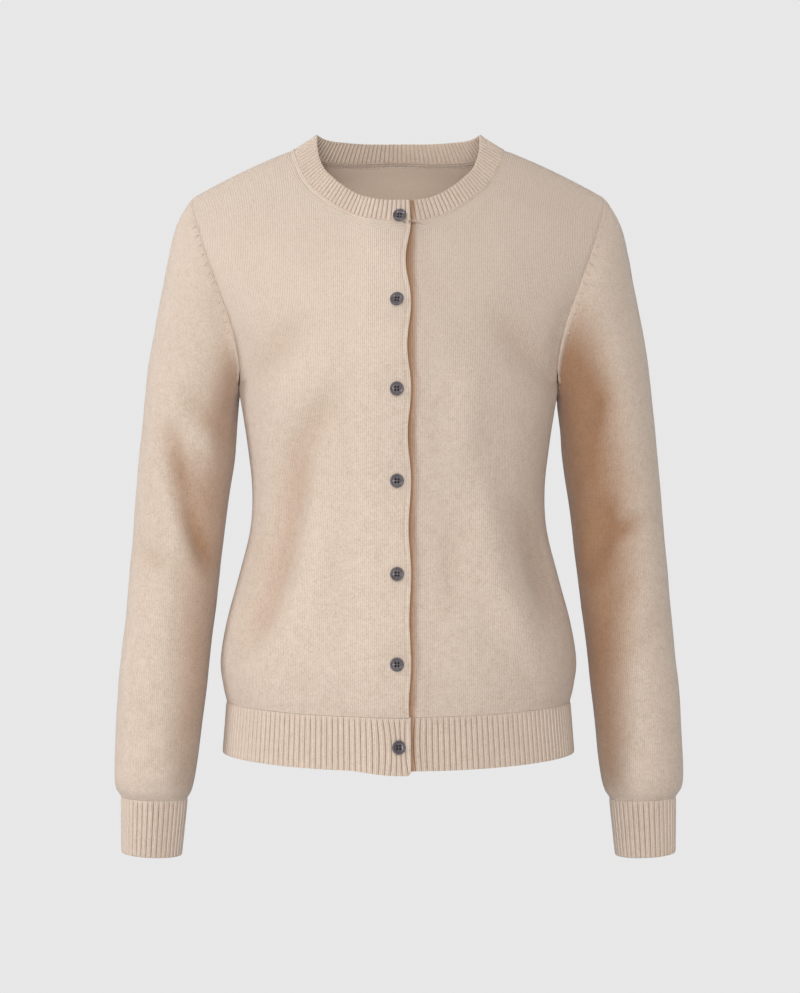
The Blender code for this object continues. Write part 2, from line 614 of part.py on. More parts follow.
def make_sleeve(side, name):
    at_front = armhole_angle(through(BODY, front_arm_rows()[::-1])[SIDE_Z])
    at_back = 2 * math.pi - armhole_angle(through(BODY, back_arm_rows())[SIDE_Z])
    at_armhole = np.concatenate([at_front, at_back[1:-1]])
    evenly = np.concatenate(
        [
            np.linspace(0, math.pi, len(at_front)),
            np.linspace(math.pi, 2 * math.pi, len(at_back))[1:-1],
        ]
    )
    row = (np.linspace(0, 1, SLEEVE_DOWN + 1) * SLEEVE_ROWS)[:, None]
    angle = at_armhole + (evenly - at_armhole) * ease(row / EVEN_AFTER_ROWS)
    row = np.broadcast_to(row, angle.shape)
    base, normal = sleeve_base(angle, row), sleeve_normal(angle, row)
    outer = flip(side, base)
    normal = flip(side, normal)
    for face in (FRONT, BACK):
        here = np.where(np.sin(angle) > 0, FRONT, BACK) == face
        push = fold_push(SLEEVE_FOLDS, face, outer) * sleeve_fold_room(angle, row) * here
        outer = outer + normal * push[..., None]
    inward = -normal
    inward[0] = flip(side, armhole_inward(angle[0], for_sleeve=True))
    inner = outer + WALL * inward
    in_fold = ease(-np.cos(angle[0]) * UNDERARM_REACH)[:, None]
    for skin in (outer, inner):
        pull_in(skin, np.s_[0], np.s_[1], ARMHOLE_DROP)
        skin[0] -= in_fold * ARMHOLE_DROP * normal[0]
        pull_in(skin, np.s_[-1], np.s_[-2])
    return make_wall(name, outer, inner, wraps=True)


def lengths_along(line):
    step = np.linalg.norm(np.diff(line, axis=0), axis=1)
    return np.concatenate([[0.0], np.cumsum(step)])


def read_along(line, values, shares):
    """What a dense line's points carry, read at shares of its length."""
    length = lengths_along(line)
    want = shares * length[-1]
    return np.stack([np.interp(want, length, values[:, k]) for k in range(3)], axis=-1)


def make_ribbing(name, foot, head, ribs, closed, out_foot, out_head):
    """Raised ribs over a plain inside, between two dense lines of points."""
    shares = np.array([(i + s) / ribs for i in range(ribs) for s, _ in RIB_PROFILE] + [1.0])
    raised = np.array([h for _ in range(ribs) for _, h in RIB_PROFILE] + [0.0])
    if closed:
        shares, raised = shares[:-1], raised[:-1]
    skins = []
    for line, out in ((foot, out_foot), (head, out_head)):
        base = read_along(line, line, shares)
        away = unit(read_along(line, out, shares))
        skins.append((base + away * (RIB_RAISE * raised)[:, None], base - away * RIB_BASE))
    bm = ribbed_mesh(skins, len(RIB_PROFILE), closed)
    finish(place_object(name, mesh_of(name, bm)), RIB_YARN, RIB_ROUGHNESS)


def ribbed_mesh(skins, per_rib, closed):
    """The band's faces: quads on the ribs, one wide quad a rib inside, and one face a rim."""
    bm = bmesh.new()
    outer = [[bm.verts.new(p) for p in skin[0]] for skin in skins]
    inner = [[bm.verts.new(p) for p in skin[1][::per_rib]] for skin in skins]
    count = len(outer[0])
    ribs = count // per_rib
    for c in range(count if closed else count - 1):
        d = (c + 1) % count
        bm.faces.new((outer[0][c], outer[0][d], outer[1][d], outer[1][c]))
    for i in range(ribs):
        j = (i + 1) % len(inner[0])
        bm.faces.new((inner[0][j], inner[0][i], inner[1][i], inner[1][j]))
        for level, rim in enumerate(outer):
            crest = [rim[(i * per_rib + k) % count] for k in range(per_rib + 1)]
            loop = crest + [inner[level][j], inner[level][i]]
            bm.faces.new(loop if level else loop[::-1])
    if not closed:
        for end in (0, -1):
            bm.faces.new((outer[0][end], outer[1][end], inner[1][end], inner[0][end]))
    bmesh.ops.recalc_face_normals(bm, faces=bm.faces[:])
    bmesh.ops.triangulate(bm, faces=[f for f in bm.faces if len(f.verts) > 4])
    if bm.calc_volume(signed=True) < 0:
        bmesh.ops.reverse_faces(bm, faces=bm.faces[:])
    return bm


def hem_line(side, face, columns, across):
    """A dense line round one part of the hem band, with its outward directions."""
    tiled = np.repeat(np.asarray(columns, float)[:, None], len(across), axis=1)
    base = section(tiled, face, across)
    ahead = section(tiled, face, np.minimum(across + EDGE_SMALL, 1))
    behind = section(tiled, face, np.maximum(across - EDGE_SMALL, -1))
    out = unit(np.cross(ahead - behind, np.array([0.0, 0.0, 1.0])) * (-face))
    if face == FRONT:
        base[:, 1] -= lap_lift(side, base[:, 0])
    return flip(side, base), flip(side, out)


def make_hem(side, face, name):
    top = np.array(BODY[0], float)
    foot = np.array(HEM_FOOT, float)
    if face == BACK:
        starts = -math.pi / 2
    else:
        past = EDGE_PAST_MIDDLE if side == RIGHT else UNDER_EDGE_PAST_MIDDLE
        starts = math.asin(-past / top[SIDE_X])
    across = np.sin(np.linspace(starts, math.pi / 2, LINE_POINTS))
    head, out_head = hem_line(side, face, top, across)
    base, out_foot = hem_line(side, face, foot, across)
    head -= out_head * HEM_TOP_IN
    head[:, 2] -= HEM_SEAM_DROP
    if side == RIGHT and face == FRONT:
        near_edge = ease((LAP_STARTS - side * base[:, 0]) / LAP_STARTS)
        base[:, 2] -= HEM_CORNER_DROP * near_edge
    ribs = round(lengths_along(base)[-1] / RIB_PITCH)
    # clear of the side seams
    for line in (head, base):
        line[-1] -= GAP / 2 * unit(line[-1] - line[-2])
        if face == BACK:
            line[0] -= GAP / 2 * unit(line[0] - line[1])
    return make_ribbing(name, base, head, ribs, False, out_foot, out_head)


def make_cuff(side, name):
    angle = np.linspace(0, 2 * math.pi, LINE_POINTS)
    lines = []
    for columns in (CUFF_FOOT, SLEEVE[-1]):
        tiled = np.repeat(np.asarray(columns, float)[:, None], len(angle), axis=1)
        lines.append(flip(side, ring(tiled, angle)))
    foot, head = lines
    outs = []
    for line in lines:
        out = line - line[:-1].mean(axis=0)
        out[:, 2] = 0.0
        outs.append(unit(out))
    head = head - outs[1] * HEM_TOP_IN
    head[:, 2] -= CUFF_SEAM_DROP
    return make_ribbing(name, foot, head, CUFF_RIBS, True, outs[0], outs[1])


def neckband_lines():
    """The neckband's seam line and free edge, from the right end round the neck to the left."""
    right_end = math.degrees(math.asin(EDGE_PAST_MIDDLE / NECK_HALF_WIDTH))
    left_end = math.degrees(math.asin(UNDER_EDGE_PAST_MIDDLE / NECK_HALF_WIDTH))
    right_angles = np.linspace(-right_end, 180, LINE_POINTS)
    left_angles = np.linspace(180, -left_end, LINE_POINTS)[1:]
    table_angle, table_lean, table_rise = np.array(NECKBAND).T
    foot, head, out = [], [], []
    for side, angles in ((RIGHT, right_angles), (LEFT, left_angles)):
        face, across, row = neckline(angles)
        seam = np.where(
            (face == FRONT)[:, None],
            body_base(FRONT, across, row),
            body_base(BACK, across, row),
        )
        lean = np.interp(angles, table_angle, table_lean)
        rise = np.interp(angles, table_angle, table_rise)
        a = np.radians(angles)
        middle_out = np.stack([np.sin(a), -np.cos(a), np.zeros_like(a)], axis=-1)
        way = -middle_out * lean[:, None]
        way[:, 2] = rise
        tangent = np.gradient(seam, axis=0) * (1 if side == RIGHT else -1)
        away = unit(np.cross(unit(way), unit(tangent)))
        away = away * np.sign(dot(away, middle_out + np.array([0.0, 0.0, 0.5])))
        lift = lap_lift(side, seam[:, 0])
        lift = np.where(np.asarray(angles) < 90, lift, 0.0)
        start = seam + unit(way) * NECKBAND_START
        start[:, 1] -= lift / np.maximum(-away[:, 1], LEAST_FACING)
        foot.append(flip(side, start))
        head.append(flip(side, start + way))
        out.append(flip(side, away))
    return np.concatenate(foot), np.concatenate(head), np.concatenate(out)


def make_neckband(name):
    foot, head, out = neckband_lines()
    ribs = round(lengths_along(foot)[-1] / NECK_RIB_PITCH)
    return make_ribbing(name, foot, head, ribs, False, out, out)


def button_blank():
    """A turned disc with a raised rim, its back at the origin."""
    bm = bmesh.new()
    radius = BUTTON_PROFILE[0][0]
    bmesh.ops.create_circle(bm, cap_ends=True, radius=radius, segments=BUTTON_SIDES)
    loop = bm.edges[:]
    for next_radius, height in BUTTON_PROFILE[1:]:
        grown = bmesh.ops.extrude_edge_only(bm, edges=loop)["geom"]
        verts = [item for item in grown if isinstance(item, bmesh.types.BMVert)]
        loop = [item for item in grown if isinstance(item, bmesh.types.BMEdge)]
        bmesh.ops.scale(bm, verts=verts, vec=(next_radius / radius, next_radius / radius, 1))
        for vert in verts:
            vert.co.z = height
        radius = next_radius
    bmesh.ops.contextual_create(bm, geom=loop)
    bmesh.ops.recalc_face_normals(bm, faces=bm.faces[:])
    return place_object("button_blank", mesh_of("button_blank", bm))


def make_drill(number):
    angle = math.radians(45 + 360 * number / HOLES)
    bm = bmesh.new()
    bmesh.ops.create_cone(
        bm, cap_ends=True, segments=HOLE_SIDES, radius1=HOLE_RADIUS, radius2=HOLE_RADIUS,
        depth=DRILL_LENGTH,
    )
    name = f"drill_{number}"
    drill = place_object(name, mesh_of(name, bm))
    drill.location = (HOLE_FROM_MIDDLE * math.cos(angle), HOLE_FROM_MIDDLE * math.sin(angle), 0)
    drill.hide_render = True
    drill.display_type = "WIRE"
    return drill


def drilled_button():
    """The mesh of a four-hole button."""
    blank = button_blank()
    drills = [make_drill(number) for number in range(HOLES)]
    for drill in drills:
        hole = blank.modifiers.new(drill.name, "BOOLEAN")
        hole.operation = "DIFFERENCE"
        hole.solver = "EXACT"
        hole.object = drill
    bpy.context.view_layer.update()
    graph = bpy.context.evaluated_depsgraph_get()
    mesh = bpy.data.meshes.new_from_object(blank.evaluated_get(graph))
    for helper in [blank] + drills:
        bpy.data.objects.remove(helper, do_unlink=True)
    return mesh


def button_seat(x, z):
    """Where the middle of a button's back lies, which way it faces, and how high ribs rise."""
    hem_seam_z, hem_foot_z = BODY[0][FRONT_MID_Z], HEM_FOOT[FRONT_MID_Z]
    if z < hem_seam_z:
        share = (z - hem_seam_z) / (hem_foot_z - hem_seam_z)
        columns = np.array(BODY[0]) + (np.array(HEM_FOOT) - np.array(BODY[0])) * share
        seat = section(columns, FRONT, np.array(x / columns[SIDE_X]))
        return seat, np.array([0.0, -1.0, 0.0]), RIB_RAISE
    foot, head, out = neckband_lines()
    on_right = foot[: LINE_POINTS // 2, 0]
    middle = int(np.argmin(np.abs(on_right - x)))
    if z > foot[middle, 2]:
        share = (z - foot[middle, 2]) / (head[middle, 2] - foot[middle, 2])
        seat = foot[middle] + (head[middle] - foot[middle]) * share
        seat[1] += LAP / -out[middle, 1]
        return seat, out[middle], RIB_RAISE
    rows = np.linspace(0, NECK_BELOW_ROW + 2, TABLE_STEPS)
    row = np.interp(z, body_base(FRONT, 0.0, rows)[:, 2], rows)
    seat = body_base(FRONT, 0.0, row)
    seat[0] = x
    return seat, body_normal(FRONT, 0.0, row), 0.0


def make_buttons():
    mesh = drilled_button()
    for number, (x, z, _, looks_up, looks_left) in enumerate(BUTTONS, start=1):
        seat, out, raised = button_seat(x, z)
        tips = math.radians(math.hypot(looks_up, looks_left))
        up = math.atan2(out[2], -out[1]) + math.radians(looks_up)
        lift = LAP + raised + BUTTON_LIFT + BUTTON_RADIUS * math.sin(tips)
        button = place_object(f"button_{number}", mesh.copy())
        button.location = seat + out * lift
        button.rotation_euler = (math.pi / 2 - up, 0.0, math.radians(looks_left))
        finish(button, HORN, HORN_ROUGHNESS)


clear_scene()
make_back("back")
make_front(RIGHT, "front_right")
make_front(LEFT, "front_left")
make_sleeve(RIGHT, "sleeve_right")
make_sleeve(LEFT, "sleeve_left")
make_cuff(RIGHT, "cuff_right")
make_cuff(LEFT, "cuff_left")
make_hem(LEFT, BACK, "hem_rib_back")
make_hem(RIGHT, FRONT, "hem_rib_right")
make_hem(LEFT, FRONT, "hem_rib_left")
make_neckband("neckband")
make_buttons()
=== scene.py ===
"""A fine-knit button cardigan, filled out as it is worn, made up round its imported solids."""

import math

import bmesh
import bpy
import numpy as np
from mathutils import Matrix, Vector, noise


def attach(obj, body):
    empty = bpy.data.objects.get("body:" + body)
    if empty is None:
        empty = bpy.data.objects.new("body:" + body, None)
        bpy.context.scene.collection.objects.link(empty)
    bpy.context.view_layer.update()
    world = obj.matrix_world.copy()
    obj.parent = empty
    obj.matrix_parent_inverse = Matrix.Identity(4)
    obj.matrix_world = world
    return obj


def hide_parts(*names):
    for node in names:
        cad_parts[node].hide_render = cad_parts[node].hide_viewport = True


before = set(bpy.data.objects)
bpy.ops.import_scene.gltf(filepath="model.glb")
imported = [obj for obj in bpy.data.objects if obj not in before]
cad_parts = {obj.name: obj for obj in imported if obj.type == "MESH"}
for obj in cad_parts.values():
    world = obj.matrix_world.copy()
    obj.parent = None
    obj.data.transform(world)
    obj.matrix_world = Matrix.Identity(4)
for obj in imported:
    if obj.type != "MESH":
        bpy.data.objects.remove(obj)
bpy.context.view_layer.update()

# Camera. It stands level in front of the garment, at the height of its waist.
CAMERA_PLACE = (0.0014, -2.2, -0.3153)
CAMERA_SENSOR = 24.0
CAMERA_VIEW_HEIGHT = 0.90363  # metres seen from top to bottom at the garment
camera_data = bpy.data.cameras.new("camera")
camera_data.sensor_fit = "VERTICAL"
camera_data.sensor_height = CAMERA_SENSOR
camera_data.lens = CAMERA_SENSOR * -CAMERA_PLACE[1] / CAMERA_VIEW_HEIGHT
camera = bpy.data.objects.new("camera", camera_data)
camera.location = CAMERA_PLACE
camera.rotation_euler = (math.radians(90), 0, 0)
bpy.context.scene.collection.objects.link(camera)
bpy.context.scene.camera = camera


# ---------------------------------------------------------------------------------------------
# Back. One panel of fine jersey, knitted to shape from the hem band up to the shoulders, where
# it is linked to the fronts. Its sections are the solid's own: side is where a section meets
# the side seam or the armhole, mid where it would cross the middle.
MM = 0.001
FRONT, BACK = -1, 1
RIGHT, LEFT = -1, 1
CLOTH = 1.9 * MM
EDGE_ROUND = 0.6 * MM
MERGE = 0.01 * MM
BODY_COLUMNS = (
    "side_x", "side_z", "front_side_y", "back_side_y", "front_mid_y", "front_mid_z",
    "back_mid_y", "back_mid_z", "full", "turn", "drop",
)
BODY = (
    # hem seam
    (0.1556, -0.5005, 0.000, 0.000, -0.1120, -0.5065, 0.1080, -0.5010, 2.25, 1.00, 2.0),
    # puff over the hem
    (0.1589, -0.4860, 0.000, 0.000, -0.1165, -0.4910, 0.1108, -0.4860, 2.25, 1.00, 2.0),
    (0.1613, -0.4630, 0.000, 0.000, -0.1200, -0.4660, 0.1120, -0.4630, 2.25, 1.00, 2.0),
    # hip
    (0.1560, -0.4295, 0.000, 0.000, -0.1200, -0.4310, 0.1095, -0.4295, 2.25, 1.00, 2.0),
    (0.1450, -0.3880, 0.000, 0.000, -0.1150, -0.3890, 0.1025, -0.3880, 2.25, 1.00, 2.0),
    # waist
    (0.1345, -0.3450, 0.000, 0.000, -0.1095, -0.3450, 0.0950, -0.3450, 2.22, 1.00, 2.0),
    (0.1328, -0.3080, 0.000, 0.000, -0.1085, -0.3060, 0.0905, -0.3080, 2.20, 1.00, 2.0),
    # under the bust
    (0.1368, -0.2700, 0.000, 0.000, -0.1130, -0.2660, 0.0905, -0.2690, 2.20, 1.00, 2.0),
    (0.1415, -0.2390, 0.000, 0.000, -0.1180, -0.2310, 0.0925, -0.2360, 2.20, 1.00, 2.0),
    # underarm
    (0.1450, -0.2190, 0.000, 0.000, -0.1195, -0.2060, 0.0950, -0.2140, 2.15, 1.00, 2.0),
    # armhole
    (0.1432, -0.2110, -0.030, 0.031, -0.1190, -0.1830, 0.0965, -0.1920, 2.10, 0.96, 1.9),
    (0.1440, -0.1890, -0.047, 0.048, -0.1150, -0.1580, 0.0985, -0.1640, 2.05, 0.91, 1.8),
    (0.1500, -0.1600, -0.054, 0.057, -0.1070, -0.1290, 0.0970, -0.1320, 2.00, 0.85, 1.7),
    (0.1605, -0.1300, -0.053, 0.058, -0.0950, -0.0990, 0.0920, -0.0930, 2.00, 0.80, 1.65),
    (0.1715, -0.0995, -0.045, 0.051, -0.0790, -0.0700, 0.0800, -0.0500, 2.00, 0.78, 1.62),
    (0.1815, -0.0700, -0.027, 0.032, -0.0540, -0.0330, 0.0600, -0.0080, 2.00, 0.78, 1.62),
    # ridge of the shoulder
    (0.1884, -0.0446, 0.000, 0.000, 0.0000, 0.0220, 0.0000, 0.0220, 2.00, 0.82, 1.62),
)
OVER_THE_RIDGE = tuple(
    -value if name.endswith("_y") else value for name, value in zip(BODY_COLUMNS, BODY[-2])
)
SIDE_X, SIDE_Z = BODY_COLUMNS.index("side_x"), BODY_COLUMNS.index("side_z")
FRONT_SIDE_Y, BACK_SIDE_Y = BODY_COLUMNS.index("front_side_y"), BODY_COLUMNS.index("back_side_y")
FULL, TURN = BODY_COLUMNS.index("full"), BODY_COLUMNS.index("turn")
FRONT_MID_Z = BODY_COLUMNS.index("front_mid_z")
UNDERARM_ROW = 9
SHOULDER_ROW = len(BODY) - 1
NECK_BELOW_ROW = 12
NECK_HALF_WIDTH, NECK_FRONT_REACH, NECK_BACK_REACH = 0.0950, 0.0815, 0.0590
NECK_ACROSS = NECK_HALF_WIDTH / BODY[SHOULDER_ROW][SIDE_X]
SMALL, EDGE_SMALL, NEARLY_ZERO = 1e-3, 2e-4, 1e-9
HALVINGS, TABLE_STEPS, LINE_POINTS = 40, 300, 600

# The large soft folds, which on the front are deeper than the solid's and partly elsewhere, then
# finer creases: a line from start to end as seen from the front, its half width, and how far it
# stands out or, below zero, sinks in.
FOLD_AT_ENDS, FOLD_FADE_ROWS, FOLD_FADE_SHARE = 0.45, 2.0, 0.06
BODY_FOLDS = (
    # face, x0, z0, x1, z1, half_width, height
    (FRONT, -0.059, -0.227, -0.087, -0.275, 0.015, -0.0057),
    (FRONT, -0.087, -0.275, -0.098, -0.337, 0.015, -0.0086),
    (FRONT, -0.098, -0.337, -0.116, -0.410, 0.016, -0.0088),
    (FRONT, -0.116, -0.410, -0.133, -0.448, 0.015, -0.0068),
    (FRONT, -0.066, -0.345, -0.075, -0.422, 0.014, 0.0047),
    (FRONT, 0.062, -0.212, 0.057, -0.284, 0.015, 0.0044),
    (FRONT, 0.070, -0.296, 0.086, -0.388, 0.016, 0.0060),
    (FRONT, 0.086, -0.388, 0.118, -0.457, 0.016, 0.0062),
    (FRONT, 0.112, -0.330, 0.136, -0.420, 0.014, -0.0057),
    (FRONT, -0.128, -0.205, -0.085, -0.165, 0.016, -0.0039),
    (FRONT, 0.128, -0.205, 0.088, -0.160, 0.016, -0.0039),
    (BACK, -0.126, -0.325, -0.070, -0.385, 0.015, -0.0036),
    (BACK, 0.127, -0.320, 0.075, -0.375, 0.015, -0.0034),
    (BACK, -0.110, -0.300, -0.030, -0.325, 0.014, -0.0025),
    (BACK, 0.112, -0.345, 0.040, -0.360, 0.014, -0.0025),
    (BACK, -0.126, -0.200, -0.080, -0.150, 0.016, -0.0030),
    (BACK, 0.126, -0.195, 0.082, -0.145, 0.016, -0.0030),
)
BODY_CREASES = (
    # face, x0, z0, x1, z1, half_width, height
    (FRONT, -0.014, -0.078, -0.026, -0.132, 0.010, 0.0010),
    (FRONT, -0.030, -0.100, -0.012, -0.136, 0.006, -0.0008),
    (FRONT, -0.026, -0.215, -0.008, -0.224, 0.005, -0.0007),
    (FRONT, 0.022, -0.095, 0.034, -0.140, 0.009, -0.0008),
    (FRONT, -0.098, -0.483, -0.077, -0.476, 0.009, -0.0013),
    (FRONT, 0.034, -0.170, 0.040, -0.192, 0.014, 0.0013),
    (FRONT, 0.045, -0.344, 0.047, -0.411, 0.010, -0.0022),
    (FRONT, 0.016, -0.470, 0.048, -0.492, 0.009, -0.0010),
    (FRONT, -0.024, -0.478, -0.060, -0.494, 0.010, -0.0009),
    (FRONT, -0.100, -0.452, -0.128, -0.484, 0.009, -0.0012),
    (FRONT, 0.096, -0.456, 0.126, -0.486, 0.009, -0.0012),
    (BACK, -0.060, -0.455, -0.085, -0.490, 0.010, -0.0012),
    (BACK, 0.050, -0.450, 0.080, -0.488, 0.010, -0.0012),
    (BACK, -0.020, -0.400, 0.030, -0.420, 0.012, -0.0010),
    (BACK, -0.050, -0.110, -0.020, -0.070, 0.012, -0.0009),
    (BACK, 0.055, -0.105, 0.025, -0.066, 0.012, -0.0009),
)
UNEVEN_LARGE, UNEVEN_SMALL = 0.050, 0.019  # how wide the soft hollows and swells are
UNEVEN_LARGE_HIGH, UNEVEN_SMALL_HIGH = 0.9 * MM, 0.22 * MM
SEAM_TUCK, SEAM_TUCK_WIDE = 0.8 * MM, 2.2 * MM
NECKLINE_CALM = 12.0 * MM  # folds and swells die out this far from the neckline
# Beside the lower armhole the cloth of the body and of the sleeve sinks into one soft valley.
VALLEY = (
    # seam_z, depth
    (-0.219, 0.0), (-0.205, 5.5 * MM), (-0.185, 7.5 * MM), (-0.155, 5.5 * MM),
    (-0.125, 2.2 * MM), (-0.090, 0.0),
)
VALLEY_WIDE, VALLEY_BEHIND = 14.0 * MM, 0.7
# Away from its seam, the side's sharp turn at the underarm is spread over the rows about it.
SOFT_STEPS, SOFT_SHARE, SOFT_FROM, SOFT_TO = (-0.8, -0.4, 0.0, 0.4, 0.8), 0.10, 7.0, 12.0
SEAM_BLEND, AT_THE_RIDGE, PROBE_ROWS, PROBE_ACROSS = 1.5, 0.02, 0.4, 0.03


def matched(*values):
    """Arrays of one shape from numbers and arrays that fit each other."""
    return np.broadcast_arrays(*(np.asarray(value, float) for value in values))


def repeated(columns, count):
    """One row of a table, given again for each of `count` points."""
    return np.repeat(np.asarray(columns, float)[:, None], count, axis=1)


def through(table, at):
    """Values of a table's columns on smooth curves through its rows, at row numbers `at`."""
    rows = np.asarray(table, float)
    at = np.clip(np.asarray(at, float), 0, len(rows) - 1)
    beyond = OVER_THE_RIDGE if table is BODY else 2 * rows[-1] - rows[-2]
    ends = np.vstack([2 * rows[0] - rows[1], rows, beyond])
    k = np.minimum(at.astype(int), len(rows) - 2)
    t = (at - k)[..., None]
    a, b, c, d = ends[k], ends[k + 1], ends[k + 2], ends[k + 3]
    cubic = 2 * b + (c - a) * t + (2 * a - 5 * b + 4 * c - d) * t**2
    cubic = cubic + (3 * b - a - 3 * c + d) * t**3
    return np.moveaxis(cubic / 2, -1, 0)


def unit(vectors):
    return vectors / np.maximum(np.linalg.norm(vectors, axis=-1, keepdims=True), NEARLY_ZERO)


def dot(a, b):
    return (a * b).sum(axis=-1, keepdims=True)


def ease(t):
    t = np.clip(t, 0.0, 1.0)
    return t * t * (3 - 2 * t)


def dip(distance, width):
    return np.exp(-((distance / width) ** 2))


def flip(side, points):
    """Turns points worked out for the wearer's left to the side named."""
    return points * np.array([side, 1.0, 1.0])


def crown(share, full):
    return np.maximum(1 - share**full, 0.0) ** (1 / full)


def section(columns, face, across):
    """Points of a body section: across is 0 in its middle and 1 at its side."""
    side_x, side_z, front_side_y, back_side_y = columns[:4]
    front_mid_y, front_mid_z, back_mid_y, back_mid_z = columns[4:8]
    full, turn, drop = columns[8:]
    front_side_y, back_side_y = np.minimum(front_side_y, 0.0), np.maximum(back_side_y, 0.0)
    side_y = np.where(face == FRONT, front_side_y, back_side_y)
    mid_y = np.where(face == FRONT, front_mid_y, back_mid_y)
    mid_z = np.where(face == FRONT, front_mid_z, back_mid_z)
    share = np.minimum(np.abs(across), 1.0)
    least = crown(turn, full)
    bulge = (crown(turn * share, full) - least) / (1 - least)
    x = across * side_x
    y = side_y + (mid_y - side_y) * bulge
    z = side_z + (mid_z - side_z) * (1 - share**drop)
    return np.stack([x, y, z], axis=-1)


SOFT_AT = np.linspace(0, SHOULDER_ROW, TABLE_STEPS)
SOFT_SIDES = [
    (column, limit, np.mean(
        [limit(through(BODY, SOFT_AT + step)[column], 0.0) for step in SOFT_STEPS], axis=0
    ))
    for column, limit in ((FRONT_SIDE_Y, np.minimum), (BACK_SIDE_Y, np.maximum))
]
LEAST = [crown(columns[TURN], columns[FULL]) for columns in BODY]
SOFT_LEAST = np.mean(
    [np.interp(SOFT_AT + step, np.arange(len(BODY)), LEAST) for step in SOFT_STEPS], axis=0
)


def body_base(face, across, row):
    across, row = matched(across, row)
    columns = through(BODY, row)
    near = ease(row - SOFT_FROM) * ease(SOFT_TO - row)
    weight = ease((1 - np.abs(across)) / SOFT_SHARE) * near
    for column, limit, softened in SOFT_SIDES:
        sharp = limit(columns[column], 0.0)
        columns[column] = sharp + weight * (np.interp(row, SOFT_AT, softened) - sharp)
    turn = crown(np.interp(row, SOFT_AT, SOFT_LEAST), columns[FULL])
    columns[TURN] += near * (turn - columns[TURN])
    return section(columns, face, across)


def body_normal(face, across, row):
    across, row = matched(across, row)
    right = body_base(face, np.minimum(across + EDGE_SMALL, 1), row)
    left = body_base(face, np.maximum(across - EDGE_SMALL, -1), row)
    above = body_base(face, across, np.minimum(row + SMALL, SHOULDER_ROW))
    below = body_base(face, across, np.maximum(row - SMALL, 0))
    facing_out = -np.broadcast_to(face, across.shape)[..., None]
    return unit(np.cross(right - left, above - below)) * facing_out


def fold_push(folds, face, points):
    """How far the folds of a face move its points out."""
    push = np.zeros(points.shape[:-1])
    for fold_face, x0, z0, x1, z1, half_width, height in folds:
        if fold_face != face:
            continue
        start = np.array([x0, z0])
        run = np.array([x1, z1]) - start
        rel = points[..., [0, 2]] - start
        nearest = np.clip((rel @ run) / (run @ run), 0.0, 1.0)
        away = np.linalg.norm(rel - nearest[..., None] * run, axis=-1)
        share = FOLD_AT_ENDS + (1 - FOLD_AT_ENDS) * np.sin(np.pi * nearest)
        push += height * share * dip(away, half_width)
    return push


def unevenness(points):
    """The soft hollows and swells that wear and pressing leave in the cloth."""
    push = np.empty(points.shape[:-1])
    for place in np.ndindex(push.shape):
        spot = Vector(points[place])
        large = noise.noise(spot / UNEVEN_LARGE) * UNEVEN_LARGE_HIGH
        push[place] = large + noise.noise(spot / UNEVEN_SMALL) * UNEVEN_SMALL_HIGH
    return push


def valley(face, seam_z, distance):
    """How far the cloth sinks towards the middle of the garment beside the lower armhole."""
    depth = np.interp(seam_z, *np.array(VALLEY).T) * (1.0 if face == FRONT else VALLEY_BEHIND)
    return -face * depth * dip(distance, VALLEY_WIDE)


def fold_room(across, row):
    """Folds die out at the seams."""
    from_side = ease((1 - np.abs(across)) / FOLD_FADE_SHARE)
    return from_side * ease(row / FOLD_FADE_ROWS) * ease((SHOULDER_ROW - row) / FOLD_FADE_ROWS)


def solve_row(face, x, want_y):
    """Row and share across where the body has this x and y, high up by the neck."""
    low = np.full_like(x, NECK_BELOW_ROW - 2.0)
    high = np.full_like(x, float(SHOULDER_ROW))
    for _ in range(HALVINGS):
        row = (low + high) / 2
        across = x / through(BODY, row)[SIDE_X]
        outside = face * body_base(face, across, row)[..., 1] > face * want_y
        low = np.where(outside, row, low)
        high = np.where(outside, high, row)
    return x / through(BODY, high)[SIDE_X], high


def neckline(angle):
    """(face, across, row) of the neckline at an angle: 0 in front, 90 at the side, 180 behind."""
    a = np.radians(np.asarray(angle, float))
    x = NECK_HALF_WIDTH * np.sin(a)
    front = np.cos(a) > NEARLY_ZERO
    y = np.where(front, -NECK_FRONT_REACH, NECK_BACK_REACH) * np.abs(np.cos(a))
    face = np.where(front, FRONT, BACK)
    across_f, row_f = solve_row(FRONT, x, y)
    across_b, row_b = solve_row(BACK, x, y)
    across, row = np.where(front, across_f, across_b), np.where(front, row_f, row_b)
    at_side = np.abs(np.cos(a)) <= NEARLY_ZERO
    across = np.where(at_side, x / BODY[SHOULDER_ROW][SIDE_X], across)
    return face, across, np.where(at_side, SHOULDER_ROW, row)


